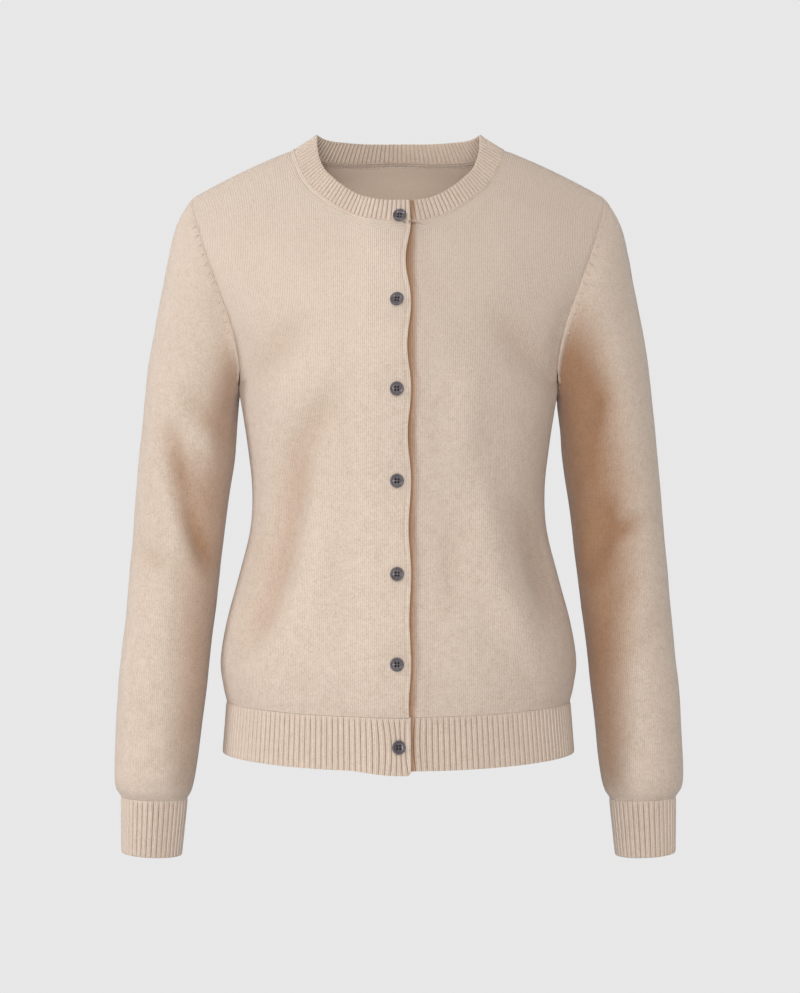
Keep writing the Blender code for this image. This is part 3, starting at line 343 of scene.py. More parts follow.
# Sleeve sections, which the back needs too, because both share the seam's lie at the armhole.
SLEEVE = (
    # outer_x, outer_z, inner_x, inner_z, mid_y, front, back
    # armhole
    (0.1884, -0.0446, 0.1450, -0.2190, 0.000, 0.0530, 0.0570),
    # sleeve head
    (0.2008, -0.0665, 0.1452, -0.2250, 0.001, 0.0545, 0.0575),
    (0.2084, -0.0940, 0.1457, -0.2320, 0.002, 0.0545, 0.0570),
    (0.2150, -0.1270, 0.1466, -0.2420, 0.003, 0.0540, 0.0560),
    (0.2215, -0.1610, 0.1478, -0.2560, 0.003, 0.0530, 0.0545),
    # upper arm
    (0.2275, -0.1980, 0.1496, -0.2790, 0.003, 0.0515, 0.0530),
    (0.2322, -0.2380, 0.1538, -0.3080, 0.003, 0.0500, 0.0510),
    (0.2362, -0.2820, 0.1583, -0.3430, 0.003, 0.0475, 0.0490),
    # elbow
    (0.2398, -0.3280, 0.1626, -0.3770, 0.002, 0.0455, 0.0470),
    (0.2432, -0.3720, 0.1662, -0.4080, -0.001, 0.0440, 0.0445),
    # forearm
    (0.2468, -0.4160, 0.1700, -0.4420, -0.006, 0.0425, 0.0425),
    (0.2505, -0.4580, 0.1730, -0.4760, -0.011, 0.0410, 0.0410),
    (0.2538, -0.5000, 0.1770, -0.5120, -0.016, 0.0400, 0.0400),
    (0.2553, -0.5360, 0.1805, -0.5450, -0.019, 0.0395, 0.0395),
    # puff over the cuff
    (0.2558, -0.5620, 0.1834, -0.5680, -0.021, 0.0385, 0.0385),
    (0.2548, -0.5760, 0.1862, -0.5800, -0.021, 0.0360, 0.0360),
    (0.2496, -0.5850, 0.1902, -0.5870, -0.021, 0.0312, 0.0312),
)
HEAD_ROWS = 3.5
SLEEVE_ROWS = len(SLEEVE) - 1


def armhole_angle(z):
    """The sleeve's angle at a height of the armhole: 0 at the shoulder, pi at the underarm."""
    top, foot = BODY[SHOULDER_ROW][SIDE_Z], BODY[UNDERARM_ROW][SIDE_Z]
    return np.arccos(np.clip((2 * z - top - foot) / (top - foot), -1.0, 1.0))


def armhole_row(angle):
    rows = np.linspace(UNDERARM_ROW, SHOULDER_ROW, TABLE_STEPS)
    angles = armhole_angle(through(BODY, rows)[SIDE_Z])
    return np.interp(np.arccos(np.cos(angle)), angles[::-1], rows[::-1])


def ring(columns, angle):
    outer_x, outer_z, inner_x, inner_z, mid_y, front, back = columns
    swing = np.cos(angle)
    x = (outer_x + inner_x) / 2 + (outer_x - inner_x) / 2 * swing
    z = (outer_z + inner_z) / 2 + (outer_z - inner_z) / 2 * swing
    y = mid_y - np.where(np.sin(angle) > 0, front, back) * np.sin(angle)
    return np.stack([x, y, z], axis=-1)


def sleeve_base(angle, row):
    """The left sleeve: angle 0 is its outer side, then its front, its inner side, its back."""
    angle, row = matched(angle, row)
    round_ring = ring(through(SLEEVE, row), angle)
    face = np.where(np.sin(angle) > 0, FRONT, BACK)
    armhole = body_base(face, 1.0, armhole_row(angle))
    first_ring = ring(through(SLEEVE, np.zeros_like(row)), angle)
    keep = (1 - np.clip(row / HEAD_ROWS, 0.0, 1.0))[..., None] ** 2
    return round_ring + keep * (armhole - first_ring)


def sleeve_normal(angle, row):
    angle, row = matched(angle, row)
    ahead = sleeve_base(angle + SMALL, row)
    behind = sleeve_base(angle - SMALL, row)
    lower = sleeve_base(angle, np.minimum(row + SMALL, SLEEVE_ROWS))
    upper = sleeve_base(angle, np.maximum(row - SMALL, 0))
    return unit(np.cross(ahead - behind, lower - upper))


def shared_inward(mine, other, into_other):
    """Direction of the wall's thickness at a seam, the same for both pieces where they meet."""
    bends_out = dot(into_other, mine) < 0
    weight = np.where(bends_out, 1.0, ease(dot(mine, other) * SEAM_BLEND))
    return -unit(mine + weight * other)


def armhole_inward(angle, for_sleeve):
    face = np.where(np.sin(angle) > 0, FRONT, BACK)
    row = armhole_row(angle)
    body = body_normal(face, 1.0 - 2 * EDGE_SMALL, row)
    ridge = (SHOULDER_ROW - row < AT_THE_RIDGE)[..., None]
    up = unit(body_normal(FRONT, 1.0, row) + body_normal(BACK, 1.0, row))
    body = np.where(ridge, up, body)
    sleeve = sleeve_normal(angle, 0.0)
    into_sleeve = unit(sleeve_base(angle, PROBE_ROWS) - sleeve_base(angle, 0.0))
    into_body = unit(body_base(face, 1.0 - PROBE_ACROSS, row) - body_base(face, 1.0, row))
    if for_sleeve:
        return shared_inward(sleeve, body, into_body)
    return shared_inward(body, sleeve, into_sleeve)


def length_table(surface, most_across, most_row):
    """Lengths over a surface: across it from its first line, and along it from its first row."""
    across = np.linspace(0, most_across, TABLE_STEPS)
    row = np.linspace(0, most_row, TABLE_STEPS)
    points = surface(*np.meshgrid(across, row))
    u, v = np.zeros(points.shape[:2]), np.zeros(points.shape[:2])
    u[:, 1:] = np.cumsum(np.linalg.norm(np.diff(points, axis=1), axis=-1), axis=1)
    v[1:] = np.cumsum(np.linalg.norm(np.diff(points, axis=0), axis=-1), axis=0)
    return most_across, most_row, np.stack([u, v], axis=-1)


def read_lengths(table, across, row):
    most_across, most_row, lengths = table
    c = np.clip(across / most_across, 0, 1) * (TABLE_STEPS - 1)
    r = np.clip(row / most_row, 0, 1) * (TABLE_STEPS - 1)
    c0 = np.minimum(c.astype(int), TABLE_STEPS - 2)
    r0 = np.minimum(r.astype(int), TABLE_STEPS - 2)
    s, t = (c - c0)[..., None], (r - r0)[..., None]
    low = lengths[r0, c0] * (1 - s) + lengths[r0, c0 + 1] * s
    high = lengths[r0 + 1, c0] * (1 - s) + lengths[r0 + 1, c0 + 1] * s
    return low * (1 - t) + high * t


BODY_LENGTHS = {
    face: length_table(lambda a, r, face=face: body_base(face, a, r), 1.0, SHOULDER_ROW)
    for face in (FRONT, BACK)
}


def body_knit(face, across, row):
    """Metres across the knit from the middle, and up it from the hem seam."""
    lengths = read_lengths(BODY_LENGTHS[face], np.abs(across), row)
    return np.stack([lengths[..., 0] * np.sign(across), lengths[..., 1]], axis=-1)


def grid_on(points, maps):
    """A grid of faces with its corners at the points, and named flat maps of the cloth."""
    rows, columns = points.shape[:2]
    bm = bmesh.new()
    bmesh.ops.create_grid(bm, x_segments=columns - 1, y_segments=rows - 1, size=1)
    place = bm.verts.layers.int.new("place")
    layers = [(bm.loops.layers.uv.new(name), at.reshape(-1, 2)) for name, at in maps.items()]
    flat = points.reshape(-1, 3)
    for number, vert in enumerate(bm.verts):
        vert.co = flat[number]
        vert[place] = number
    for face in bm.faces:
        for loop in face.loops:
            for layer, at in layers:
                loop[layer].uv = at[loop.vert[place]]
    bmesh.ops.remove_doubles(bm, verts=bm.verts[:], dist=MERGE)
    return bm


def lay_cloth(points, maps, inward, thickness=CLOTH, edge_round=EDGE_ROUND, joined=()):
    """A closed sheet from a grid of places: a skin, its inner skin, and rounded rims. The rims
    of joined rows, where it runs on into the next piece, stay square."""
    bm = grid_on(points, maps)
    columns = points.shape[1]
    place = bm.verts.layers.int["place"]
    flat_in = inward.reshape(-1, 3)
    outer = set(bm.faces)
    grown = bmesh.ops.extrude_face_region(bm, geom=bm.faces[:], use_keep_orig=True)["geom"]
    for item in grown:
        if isinstance(item, bmesh.types.BMVert):
            item.co += Vector(flat_in[item[place]]) * thickness
    inner = {item for item in grown if isinstance(item, bmesh.types.BMFace)}
    for face in inner:
        face.material_index = 1
    rims = set(bm.faces) - outer - inner
    edges = [
        edge for edge in bm.edges
        if sum(face in rims for face in edge.link_faces) == 1
        and not all(vert[place] // columns in joined for vert in edge.verts)
    ]
    bmesh.ops.recalc_face_normals(bm, faces=bm.faces[:])
    if bm.calc_volume(signed=True) < 0:
        bmesh.ops.reverse_faces(bm, faces=bm.faces[:])
    bmesh.ops.bevel(
        bm, geom=edges, offset=edge_round, offset_type="OFFSET", segments=2, profile=0.5,
        affect="EDGES", material=-1, clamp_overlap=True,
    )
    bm.verts.layers.int.remove(place)
    return bm


def plain_object(name, bm):
    mesh = bpy.data.meshes.new(name)
    bm.to_mesh(mesh)
    bm.free()
    made = bpy.data.objects.new(name, mesh)
    bpy.context.scene.collection.objects.link(made)
    return made


def add_piece(name, bm, materials, replaces=()):
    piece = plain_object(name, bm)
    piece.data.shade_smooth()
    for material in materials:
        piece.data.materials.append(material)
    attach(piece, "root")
    if replaces:
        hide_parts(*replaces)
    return piece


# The yarn: a soft brushed oatmeal wool, knitted finely in plain jersey.
WALE, COURSE = 1.72 * MM, 1.25 * MM
# The yarn's pale and dark tones: its random haze and mottle lie between them, and so does the
# painted shade of its stitches.
YARN, YARN_SHADE = (0.770, 0.655, 0.562, 1.0), (0.505, 0.380, 0.285, 1.0)
# The inside is the same yarn, coloured paler to make up for the little light that gets in.
INSIDE, INSIDE_SHADE = (0.980, 0.810, 0.670, 1.0), (0.900, 0.710, 0.570, 1.0)
YARN_LIGHT = 0.62  # where the even colour lies between the two
YARN_FINISH = {"Roughness": 0.92, "Specular IOR Level": 0.12}
SHEEN_FINISH = {"Sheen Weight": 0.30, "Sheen Roughness": 0.45}
BUMP_HIGH, BUMP_STRENGTH = 0.40 * MM, 0.9
# Colour of the painted shade in the rib grooves.
GROOVE_PAINTED_SHADE = (0.70, 0.60, 0.51, 1.0)
# Shade painted into the colour of deep folds, browner and darker than the lights alone make it.
PAINTED_SHADE_TINT = (0.60, 0.42, 0.30, 1.0)
FUZZ_HIGH_Z, FUZZ_LOW_Z = -0.08, -0.26
# A stitch: how steeply its legs slant, how much of its height they are, how narrow the gap is.
LEG_SLANT, PURL_ARCH, PLAIN_LEGS, PURL_LEGS, GAP_NARROW = 1.5, 2.2, 0.28, 0.75, 2.5
# Painted shade in the rib grooves: how sharply it rises across a groove, how narrow it is, and how
# far below the seam it comes to full strength.
GROOVE_SHARP, GROOVE_NARROW, GROOVE_STARTS = 8.0, 2.9, 4.0 * MM
# What makes the knit uneven: the scale, detail and spread of its noise.
NOISE_ROUGHNESS = 0.6
WALES_STRAY, BRUSHED_PATCHES = (260.0, 1.0, 0.34), (60.0, 3.0, 0.35)
HAZE, MOTTLE = (560.0, 3.0, 1.0), (150.0, 2.0, 1.0)
# How high the haze stands and how much it tints, then how strong the stitches' painted shade and
# light are.
HAZE_HIGH, HAZE_TINT, STITCH_PAINTED_SHADE = 1.5, 1.3, 1.7
MOTTLE_TINT, MOTTLE_MORE_BELOW = 0.2, 0.35


def add_node(tree, kind, inputs=(), **settings):
    made = tree.nodes.new(kind)
    for key, value in settings.items():
        setattr(made, key, value)
    for name, value in dict(inputs).items():
        if isinstance(value, bpy.types.NodeSocket):
            tree.links.new(value, made.inputs[name])
        else:
            made.inputs[name].default_value = value
    return made


def calc(tree, operation, *values, clamp=False):
    made = add_node(
        tree, "ShaderNodeMath", enumerate(values), operation=operation, use_clamp=clamp
    )
    return made.outputs[0]


def between(tree, share, first, second):
    return calc(tree, "MULTIPLY_ADD", share, calc(tree, "SUBTRACT", second, first), first)


def mixed(tree, share, low, high, blend="MIX"):
    """One colour mixed into another."""
    made = add_node(
        tree, "ShaderNodeMix", data_type="RGBA", blend_type=blend, clamp_factor=True
    )
    sockets = {socket.identifier: socket for socket in made.inputs}
    for name, value in (("Factor_Float", share), ("A_Color", low), ("B_Color", high)):
        if isinstance(value, bpy.types.NodeSocket):
            tree.links.new(value, sockets[name])
        else:
            sockets[name].default_value = value
    return next(socket for socket in made.outputs if socket.identifier == "Result_Color")


def new_material(name):
    """A material, its node tree, its shader and the places on the object."""
    made = bpy.data.materials.new(name)
    made.use_nodes = True
    tree = made.node_tree
    spot = add_node(tree, "ShaderNodeTexCoord").outputs["Object"]
    return made, tree, tree.nodes["Principled BSDF"], spot


def set_finish(shader, values):
    for name, value in values.items():
        shader.inputs[name].default_value = value


def add_bump(tree, shader, height, high, strength):
    bump = add_node(
        tree, "ShaderNodeBump", {"Strength": strength, "Distance": high, "Height": height}
    )
    tree.links.new(bump.outputs[0], shader.inputs["Normal"])


def grain(tree, spot, scale, detail, spread):
    """Noise about zero."""
    made = add_node(
        tree, "ShaderNodeTexNoise",
        {"Vector": spot, "Scale": scale, "Detail": detail, "Roughness": NOISE_ROUGHNESS},
    )
    return calc(tree, "MULTIPLY_ADD", made.outputs[0], spread, -spread / 2)


def map_of(tree, name):
    at = add_node(tree, "ShaderNodeUVMap", uv_map=name)
    return add_node(tree, "ShaderNodeSeparateXYZ", {0: at.outputs[0]}).outputs


def stitch_relief(tree, spot, u, v, wale, purl):
    """How high the loops stand: slanting legs on the face of the knit, arches on its back."""
    column = calc(tree, "ADD", calc(tree, "DIVIDE", u, wale), grain(tree, spot, *WALES_STRAY))
    step = calc(tree, "DIVIDE", v, COURSE)
    across = calc(tree, "ABSOLUTE", calc(tree, "SUBTRACT", calc(tree, "FRACT", column), 0.5))
    if purl:
        slant = calc(tree, "MULTIPLY_ADD", calc(tree, "POWER", across, 2.0), PURL_ARCH, step)
    else:
        slant = calc(tree, "MULTIPLY_ADD", across, LEG_SLANT, step)
    legs = PURL_LEGS if purl else PLAIN_LEGS
    wave = calc(tree, "SINE", calc(tree, "MULTIPLY", slant, math.tau))
    leg = calc(tree, "MULTIPLY_ADD", wave, legs / 2, legs / 2)
    gap = calc(tree, "POWER", calc(tree, "MULTIPLY", across, 2.0), GAP_NARROW)
    return calc(tree, "ADD", calc(tree, "MULTIPLY_ADD", gap, legs - 1, 1 - legs), leg)


def knit_material(name, wale, fuzz, edge_band=0.0, purl=False, rib_pitch=0.0, inside=False):
    """Knitted cloth on the piece's own maps. fuzz is how far brushing hides its stitches, high
    and low on the garment, and edge_band how far from an edge the wales run along it."""
    material, tree, shader, spot = new_material(name)
    u, v = map_of(tree, "knit")[:2]
    # Where the rib grooves get painted shade, fading out towards the seam.
    if rib_pitch:
        phase = calc(tree, "FRACT", calc(tree, "DIVIDE", u, rib_pitch))
        off_rib = calc(tree, "ABSOLUTE", calc(tree, "SUBTRACT", phase, 0.5))
        groove = calc(tree, "MULTIPLY_ADD", off_rib, GROOVE_SHARP, -GROOVE_NARROW, clamp=True)
        down = calc(tree, "MULTIPLY", v, -1 / GROOVE_STARTS, clamp=True)
        groove = calc(tree, "MULTIPLY", groove, down)
    if edge_band:
        away, along = map_of(tree, "edge")[:2]
        near = calc(tree, "LESS_THAN", away, edge_band)
        u, v = between(tree, near, u, away), between(tree, near, v, along)
    stitch = stitch_relief(tree, spot, u, v, wale, purl)
    height_at = add_node(tree, "ShaderNodeSeparateXYZ", {0: spot}).outputs[2]
    lower = calc(
        tree, "DIVIDE", calc(tree, "SUBTRACT", FUZZ_HIGH_Z, height_at), FUZZ_HIGH_Z - FUZZ_LOW_Z,
        clamp=True,
    )
    brushed = calc(tree, "MULTIPLY_ADD", lower, fuzz[1] - fuzz[0], fuzz[0])
    brushed = calc(tree, "ADD", brushed, grain(tree, spot, *BRUSHED_PATCHES), clamp=True)
    plain = calc(tree, "SUBTRACT", 1.0, brushed)
    haze = grain(tree, spot, *HAZE)
    height = calc(tree, "MULTIPLY_ADD", stitch, plain, calc(tree, "MULTIPLY", haze, HAZE_HIGH))
    # Painted shade in the gaps between the loops and painted light on their legs, following the
    # stitch relief.
    light = calc(tree, "MULTIPLY", calc(tree, "SUBTRACT", stitch, 0.5), plain)
    light = calc(tree, "MULTIPLY_ADD", light, STITCH_PAINTED_SHADE, YARN_LIGHT)
    light = calc(tree, "MULTIPLY_ADD", haze, HAZE_TINT, light)
    mottle = calc(tree, "MULTIPLY_ADD", lower, MOTTLE_MORE_BELOW, MOTTLE_TINT)
    light = calc(tree, "MULTIPLY_ADD", grain(tree, spot, *MOTTLE), mottle, light)
    shade, pale = (INSIDE_SHADE, INSIDE) if inside else (YARN_SHADE, YARN)
    colour = mixed(tree, light, shade, pale)
    # Painted shade from the piece's deep map: in deep folds, on the inner arms and beside the
    # lapped edge.
    colour = mixed(tree, map_of(tree, "deep")[0], colour, PAINTED_SHADE_TINT, "MULTIPLY")
    # The rib grooves' painted shade.
    if rib_pitch:
        colour = mixed(tree, groove, colour, GROOVE_PAINTED_SHADE, "MULTIPLY")
    tree.links.new(colour, shader.inputs["Base Color"])
    add_bump(tree, shader, height, BUMP_HIGH, BUMP_STRENGTH)
    set_finish(shader, {**YARN_FINISH, **SHEEN_FINISH})
    return material


NECK_EDGE_WALES = 6.0
BODY_FUZZ, INSIDE_FUZZ = (0.05, 0.52), (0.35, 0.35)
DEEP_FOLD = 22.0 * MM  # a fold this deep would have all of the painted shade
body_face = knit_material("jersey_body", WALE, BODY_FUZZ, NECK_EDGE_WALES * WALE)
jersey_inside = knit_material("jersey_inside", WALE, INSIDE_FUZZ, purl=True, inside=True)
SIDE_ROWS = 120
BACK_ARM_ROWS, BACK_NECK_COLUMNS, BACK_SIDE_COLUMNS = 62, 34, 30
NECK_LINE_POINTS = 1200
FAR_FROM_EDGE = 1.0
LEAST_FACING = 0.5


def seam_push(*distances):
    """The cloth tucks in beside each seam, given the distances to them."""
    return -SEAM_TUCK * sum(dip(distance, SEAM_TUCK_WIDE) for distance in distances)


def lengths_along(line):
    step = np.linalg.norm(np.diff(line, axis=0), axis=1)
    return np.concatenate([[0.0], np.cumsum(step)])


def edge_map(points, line, most):
    """Metres to a seam line and along it, for the places of a panel that lie within `most`."""
    along = lengths_along(line)
    out = np.full(points.shape[:-1] + (2,), FAR_FROM_EDGE)
    low, high = line.min(axis=0) - most, line.max(axis=0) + most
    near = np.all((points > low) & (points < high), axis=-1)
    away = np.linalg.norm(points[near][:, None] - line[None], axis=-1)
    out[near] = np.stack([away.min(axis=1), along[away.argmin(axis=1)]], axis=-1)
    return out


def body_skin(side, face, across, row, neck_angles, lift=0.0):
    """A body panel's outer places, its maps and inward directions, with folds and tucks."""
    base, normal = body_base(face, across, row), body_normal(face, across, row)
    world = flip(side, base)
    knit = body_knit(face, across, row)
    _, neck_across, neck_row = neckline(neck_angles)
    edge = edge_map(base, body_base(face, neck_across, neck_row), 2 * NECKLINE_CALM)
    ends = read_lengths(BODY_LENGTHS[face], np.ones_like(across), row)
    from_seam = ends[..., 0] - np.abs(knit[..., 0])
    push = fold_push(BODY_FOLDS + BODY_CREASES, face, world) + unevenness(world)
    push = push * fold_room(across, row) * ease(edge[..., 0] / NECKLINE_CALM)
    push = push + seam_push(from_seam)
    outer = world + flip(side, normal) * push[..., None]
    outer[..., 1] += valley(face, through(BODY, row)[SIDE_Z], from_seam)
    outer[..., 1] -= lift / np.maximum(-normal[..., 1], LEAST_FACING)
    # Painted shade, more where the cloth sinks deeper in folds, hollows and tucks.
    deep = np.clip(-push / DEEP_FOLD, 0, 1)
    deep = np.stack([deep, np.zeros_like(deep)], axis=-1)
    maps = {"knit": knit * np.array([side, 1.0]), "edge": edge, "deep": deep}
    return outer, maps, flip(side, -normal)


half_neck = NECK_ACROSS * np.sin(np.linspace(0, math.pi / 2, BACK_NECK_COLUMNS + 1))
neck_edge = math.asin(NECK_ACROSS)
outside = np.sin(np.linspace(neck_edge, math.pi / 2, BACK_SIDE_COLUMNS + 1)[1:])
half = np.concatenate([half_neck, outside])
_, line_across, line_row = neckline(np.linspace(180, 90, LINE_POINTS))
in_neck = half < NECK_ACROSS - SMALL
top = np.where(in_neck, np.interp(half, line_across, line_row), SHOULDER_ROW)
across = np.concatenate([-half[:0:-1], half])
top = np.concatenate([top[:0:-1], top])
side_row = np.concatenate([
    np.linspace(0, UNDERARM_ROW, SIDE_ROWS + 1),
    np.linspace(UNDERARM_ROW, SHOULDER_ROW, BACK_ARM_ROWS + 1)[1:],
])
up = side_row[:, None] / SHOULDER_ROW
row = side_row[:, None] * (1 + (top / SHOULDER_ROW - 1) * up**2)
across = np.broadcast_to(across, row.shape).copy()
round_the_back = np.linspace(90 + SMALL, 270 - SMALL, NECK_LINE_POINTS)
outer, maps, inward = body_skin(LEFT, BACK, across, row, round_the_back)
below = side_row < UNDERARM_ROW + SMALL
for column, sign in ((0, RIGHT), (-1, LEFT)):
    inward[below, column] = np.array([-sign, 0.0, 0.0])
    angle = -armhole_angle(through(BODY, side_row[~below])[SIDE_Z])
    inward[~below, column] = flip(sign, armhole_inward(angle, for_sleeve=False))
ridge = np.abs(across[-1]) >= NECK_ACROSS - SMALL
both = body_normal(FRONT, across[-1], row[-1]) + body_normal(BACK, across[-1], row[-1])
inward[-1, ridge] = -unit(both)[ridge]
back = add_piece(
    "back_panel", lay_cloth(outer, maps, inward, joined={0}),
    [body_face, jersey_inside], ["back"],
)


# ---------------------------------------------------------------------------------------------
# Fronts. Two panels of the same jersey. The right one laps over the left one and is held to it
# by the buttons. Their free edges are turned under and linked down, which leaves a fine line.
EDGE_PAST_MIDDLE, UNDER_EDGE_PAST_MIDDLE = 0.0110, 0.0150
LAP = 4.2 * MM
LAP_STARTS, LAP_FULL = 0.046, 0.019
GAPE_SHARE, GAPE_WIDE = 0.6, 0.024  # where the edge draws in between two buttons it lifts too
LAP_TROUGH, TROUGH_FROM_EDGE, TROUGH_WIDE = 4.4 * MM, 2.4 * MM, 4.2 * MM
# How far the lapped edge's painted shade reaches onto the left half, how much further where the
# edge draws in, and how soon it is full.
LAP_DEEP, LAP_DEEP_SHARE, LAP_DEEP_FULL = 5.8 * MM, 1.3, 1.15
BUTTONS = (
    # x, z, edge_draws_in_below, looks_up, looks_left
    (0.0010, -0.0724, 0.0048, 1.0, -12.0),
    (-0.0010, -0.1470, 0.0034, 3.0, -17.0),
    (-0.0011, -0.2222, 0.0030, 5.0, -12.0),
    (-0.0010, -0.3012, 0.0022, 2.0, -9.0),
    (-0.0009, -0.3830, 0.0016, 3.0, -11.0),
    (-0.0010, -0.4592, 0.0020, 2.0, -9.0),
    (0.0001, -0.5312, 0.0, 7.0, 13.0),
)
BUTTON_Z = [z for _, z, *_ in BUTTONS]
FRONT_ARM_ROWS, NECK_ROWS = 34, 46
FRONT_COLUMNS = 54
FINE_COLUMNS = {RIGHT: ((0.0, 0), (0.05, 12)), LEFT: ((0.115, 4), (0.23, 20))}
NECK_FOOT_FACES = SHOULDER_ROW - 2.6
EDGE_LINE, EDGE_LINE_WIDE, EDGE_LINE_DEEP = 3.6 * MM, 0.7 * MM, 0.6 * MM


def lap_lift(side, x_towards_side):
    """How far the right front and its bands stand out where they lie on the left ones."""
    if side == LEFT:
        return np.zeros_like(x_towards_side)
    return LAP * ease((LAP_STARTS - x_towards_side) / (LAP_STARTS - LAP_FULL))


def edge_past_middle(z):
    """How far the right front's free edge lies past the middle at a height."""
    draw = np.zeros_like(z)
    for (_, upper_z, draws_in, _, _), lower_z in zip(BUTTONS, BUTTON_Z[1:]):
        t = np.clip((upper_z - z) / (upper_z - lower_z), 0.0, 1.0)
        draw += draws_in * np.sin(np.pi * t) ** 2
    return EDGE_PAST_MIDDLE - draw


def under_lap(points):
    """How much of the lapped edge's painted shade the left half has: 1 at the edge, 0 away."""
    edge = edge_past_middle(points[..., 2])
    reach = LAP_DEEP + LAP_DEEP_SHARE * (EDGE_PAST_MIDDLE - edge)
    return ease(LAP_DEEP_FULL * (1 - (points[..., 0] - edge) / reach))


def add_front(side, name, node):
    past = -edge_past_middle(np.array([BUTTON_Z[0]]))[0]
    if side == LEFT:
        past = -UNDER_EDGE_PAST_MIDDLE
    foot_angle = math.degrees(math.asin(past / NECK_HALF_WIDTH))
    _, foot_across, foot_row = neckline(np.array([foot_angle]))
    up_the_side = np.linspace(0, UNDERARM_ROW, SIDE_ROWS + 1)
    up_the_arm = np.linspace(UNDERARM_ROW, foot_row[0], FRONT_ARM_ROWS + 1)[1:]
    mid_row = np.concatenate([up_the_side, up_the_arm])
    mid_z = body_base(FRONT, 0.0, mid_row)[:, 2]
    mid_x = -edge_past_middle(mid_z) if side == RIGHT else np.full_like(mid_z, past)
    mid_across = mid_x / through(BODY, mid_row)[SIDE_X]
    mid_across[-1] = foot_across[0]
    bend = np.linspace(0, 1, NECK_ROWS + 1)[1:]
    _, neck_across, neck_row = neckline(foot_angle + (90 - foot_angle) * bend)
    mid_across = np.concatenate([mid_across, neck_across])
    mid_row = np.concatenate([mid_row, neck_row])
    side_row = np.concatenate([
        up_the_side,
        np.linspace(UNDERARM_ROW, NECK_FOOT_FACES, FRONT_ARM_ROWS + 1)[1:],
        np.linspace(NECK_FOOT_FACES, SHOULDER_ROW, NECK_ROWS + 1)[1:],
    ])
    wide = np.sin(np.linspace(0, math.pi / 2, FRONT_COLUMNS + 1))
    (fine_from, coarse_columns), (fine_to, fine_columns) = FINE_COLUMNS[side]
    s = np.concatenate([
        np.linspace(0, fine_from, coarse_columns, endpoint=False),
        np.linspace(fine_from, fine_to, fine_columns, endpoint=False),
        fine_to + (1 - fine_to) * wide,
    ])[None, :]
    across = mid_across[:, None] + (1 - mid_across[:, None]) * s
    row = mid_row[:, None] + (side_row - mid_row)[:, None] * s
    x = body_base(FRONT, across, row)[..., 0]
    neck_angles = np.linspace(foot_angle, 90 - SMALL, NECK_LINE_POINTS)
    z = body_base(FRONT, across, row)[..., 2]
    drawn_in = EDGE_PAST_MIDDLE - edge_past_middle(z)
    gape = GAPE_SHARE * drawn_in * ease(1 - x / GAPE_WIDE) * (side == RIGHT)
    outer, maps, inward = body_skin(
        side, FRONT, across, row, neck_angles, lap_lift(side, x) + gape
    )
    from_edge = np.linalg.norm(outer - outer[:, :1], axis=-1)
    outer += inward * (EDGE_LINE_DEEP * dip(from_edge - EDGE_LINE, EDGE_LINE_WIDE))[..., None]
    if side == LEFT:
        beside = x - edge_past_middle(z) - TROUGH_FROM_EDGE
        outer[..., 1] += LAP_TROUGH * dip(beside, TROUGH_WIDE) * ease(row)
        # The lapped edge's painted shade on the left front.
        maps["deep"][..., 0] = np.maximum(maps["deep"][..., 0], under_lap(outer))
    below = side_row < UNDERARM_ROW + SMALL
    inward[below, -1] = np.array([-side, 0.0, 0.0])
    angle = armhole_angle(through(BODY, side_row[~below])[SIDE_Z])
    inward[~below, -1] = flip(side, armhole_inward(angle, for_sleeve=False))
    top = unit(body_normal(FRONT, across[-1], row[-1]) + body_normal(BACK, across[-1], row[-1]))
    inward[-1, :-1] = flip(side, -top[:-1])
    bm = lay_cloth(outer, maps, inward, joined={0})
    piece = add_piece(name, bm, [body_face, jersey_inside], [node])


add_front(RIGHT, "right_front_panel", "front_right")
add_front(LEFT, "left_front_panel", "front_left")


# ---------------------------------------------------------------------------------------------
# Sleeves. Each is one fully fashioned piece of the same jersey, closed by a seam along the
# inner arm, linked into the armhole and gathered softly onto its cuff.
SLEEVE_FOLDS = (
    # face, x0, z0, x1, z1, half_width, height
    (FRONT, -0.204, -0.258, -0.186, -0.330, 0.011, -0.0085),
    (FRONT, -0.186, -0.330, -0.170, -0.378, 0.010, -0.0085),
    (FRONT, -0.176, -0.245, -0.170, -0.280, 0.009, 0.0030),
    (FRONT, -0.232, -0.366, -0.205, -0.378, 0.010, -0.0024),
    (FRONT, -0.160, -0.262, -0.188, -0.225, 0.012, -0.0034),
    (FRONT, -0.166, -0.330, -0.190, -0.280, 0.010, -0.0026),
    (FRONT, 0.190, -0.322, 0.170, -0.386, 0.010, -0.0050),
    (FRONT, 0.193, -0.348, 0.222, -0.336, 0.008, -0.0058),
    (FRONT, 0.158, -0.260, 0.186, -0.222, 0.012, -0.0034),
    (FRONT, 0.230, -0.430, 0.196, -0.462, 0.011, -0.0022),
    (BACK, -0.238, -0.330, -0.180, -0.372, 0.013, -0.0042),
    (BACK, -0.232, -0.380, -0.176, -0.348, 0.011, -0.0030),
    (BACK, -0.158, -0.258, -0.196, -0.215, 0.014, -0.0034),
    (BACK, 0.238, -0.338, 0.178, -0.365, 0.013, -0.0040),
    (BACK, 0.234, -0.372, 0.182, -0.392, 0.011, -0.0030),
    (BACK, 0.158, -0.256, 0.194, -0.218, 0.014, -0.0034),
)
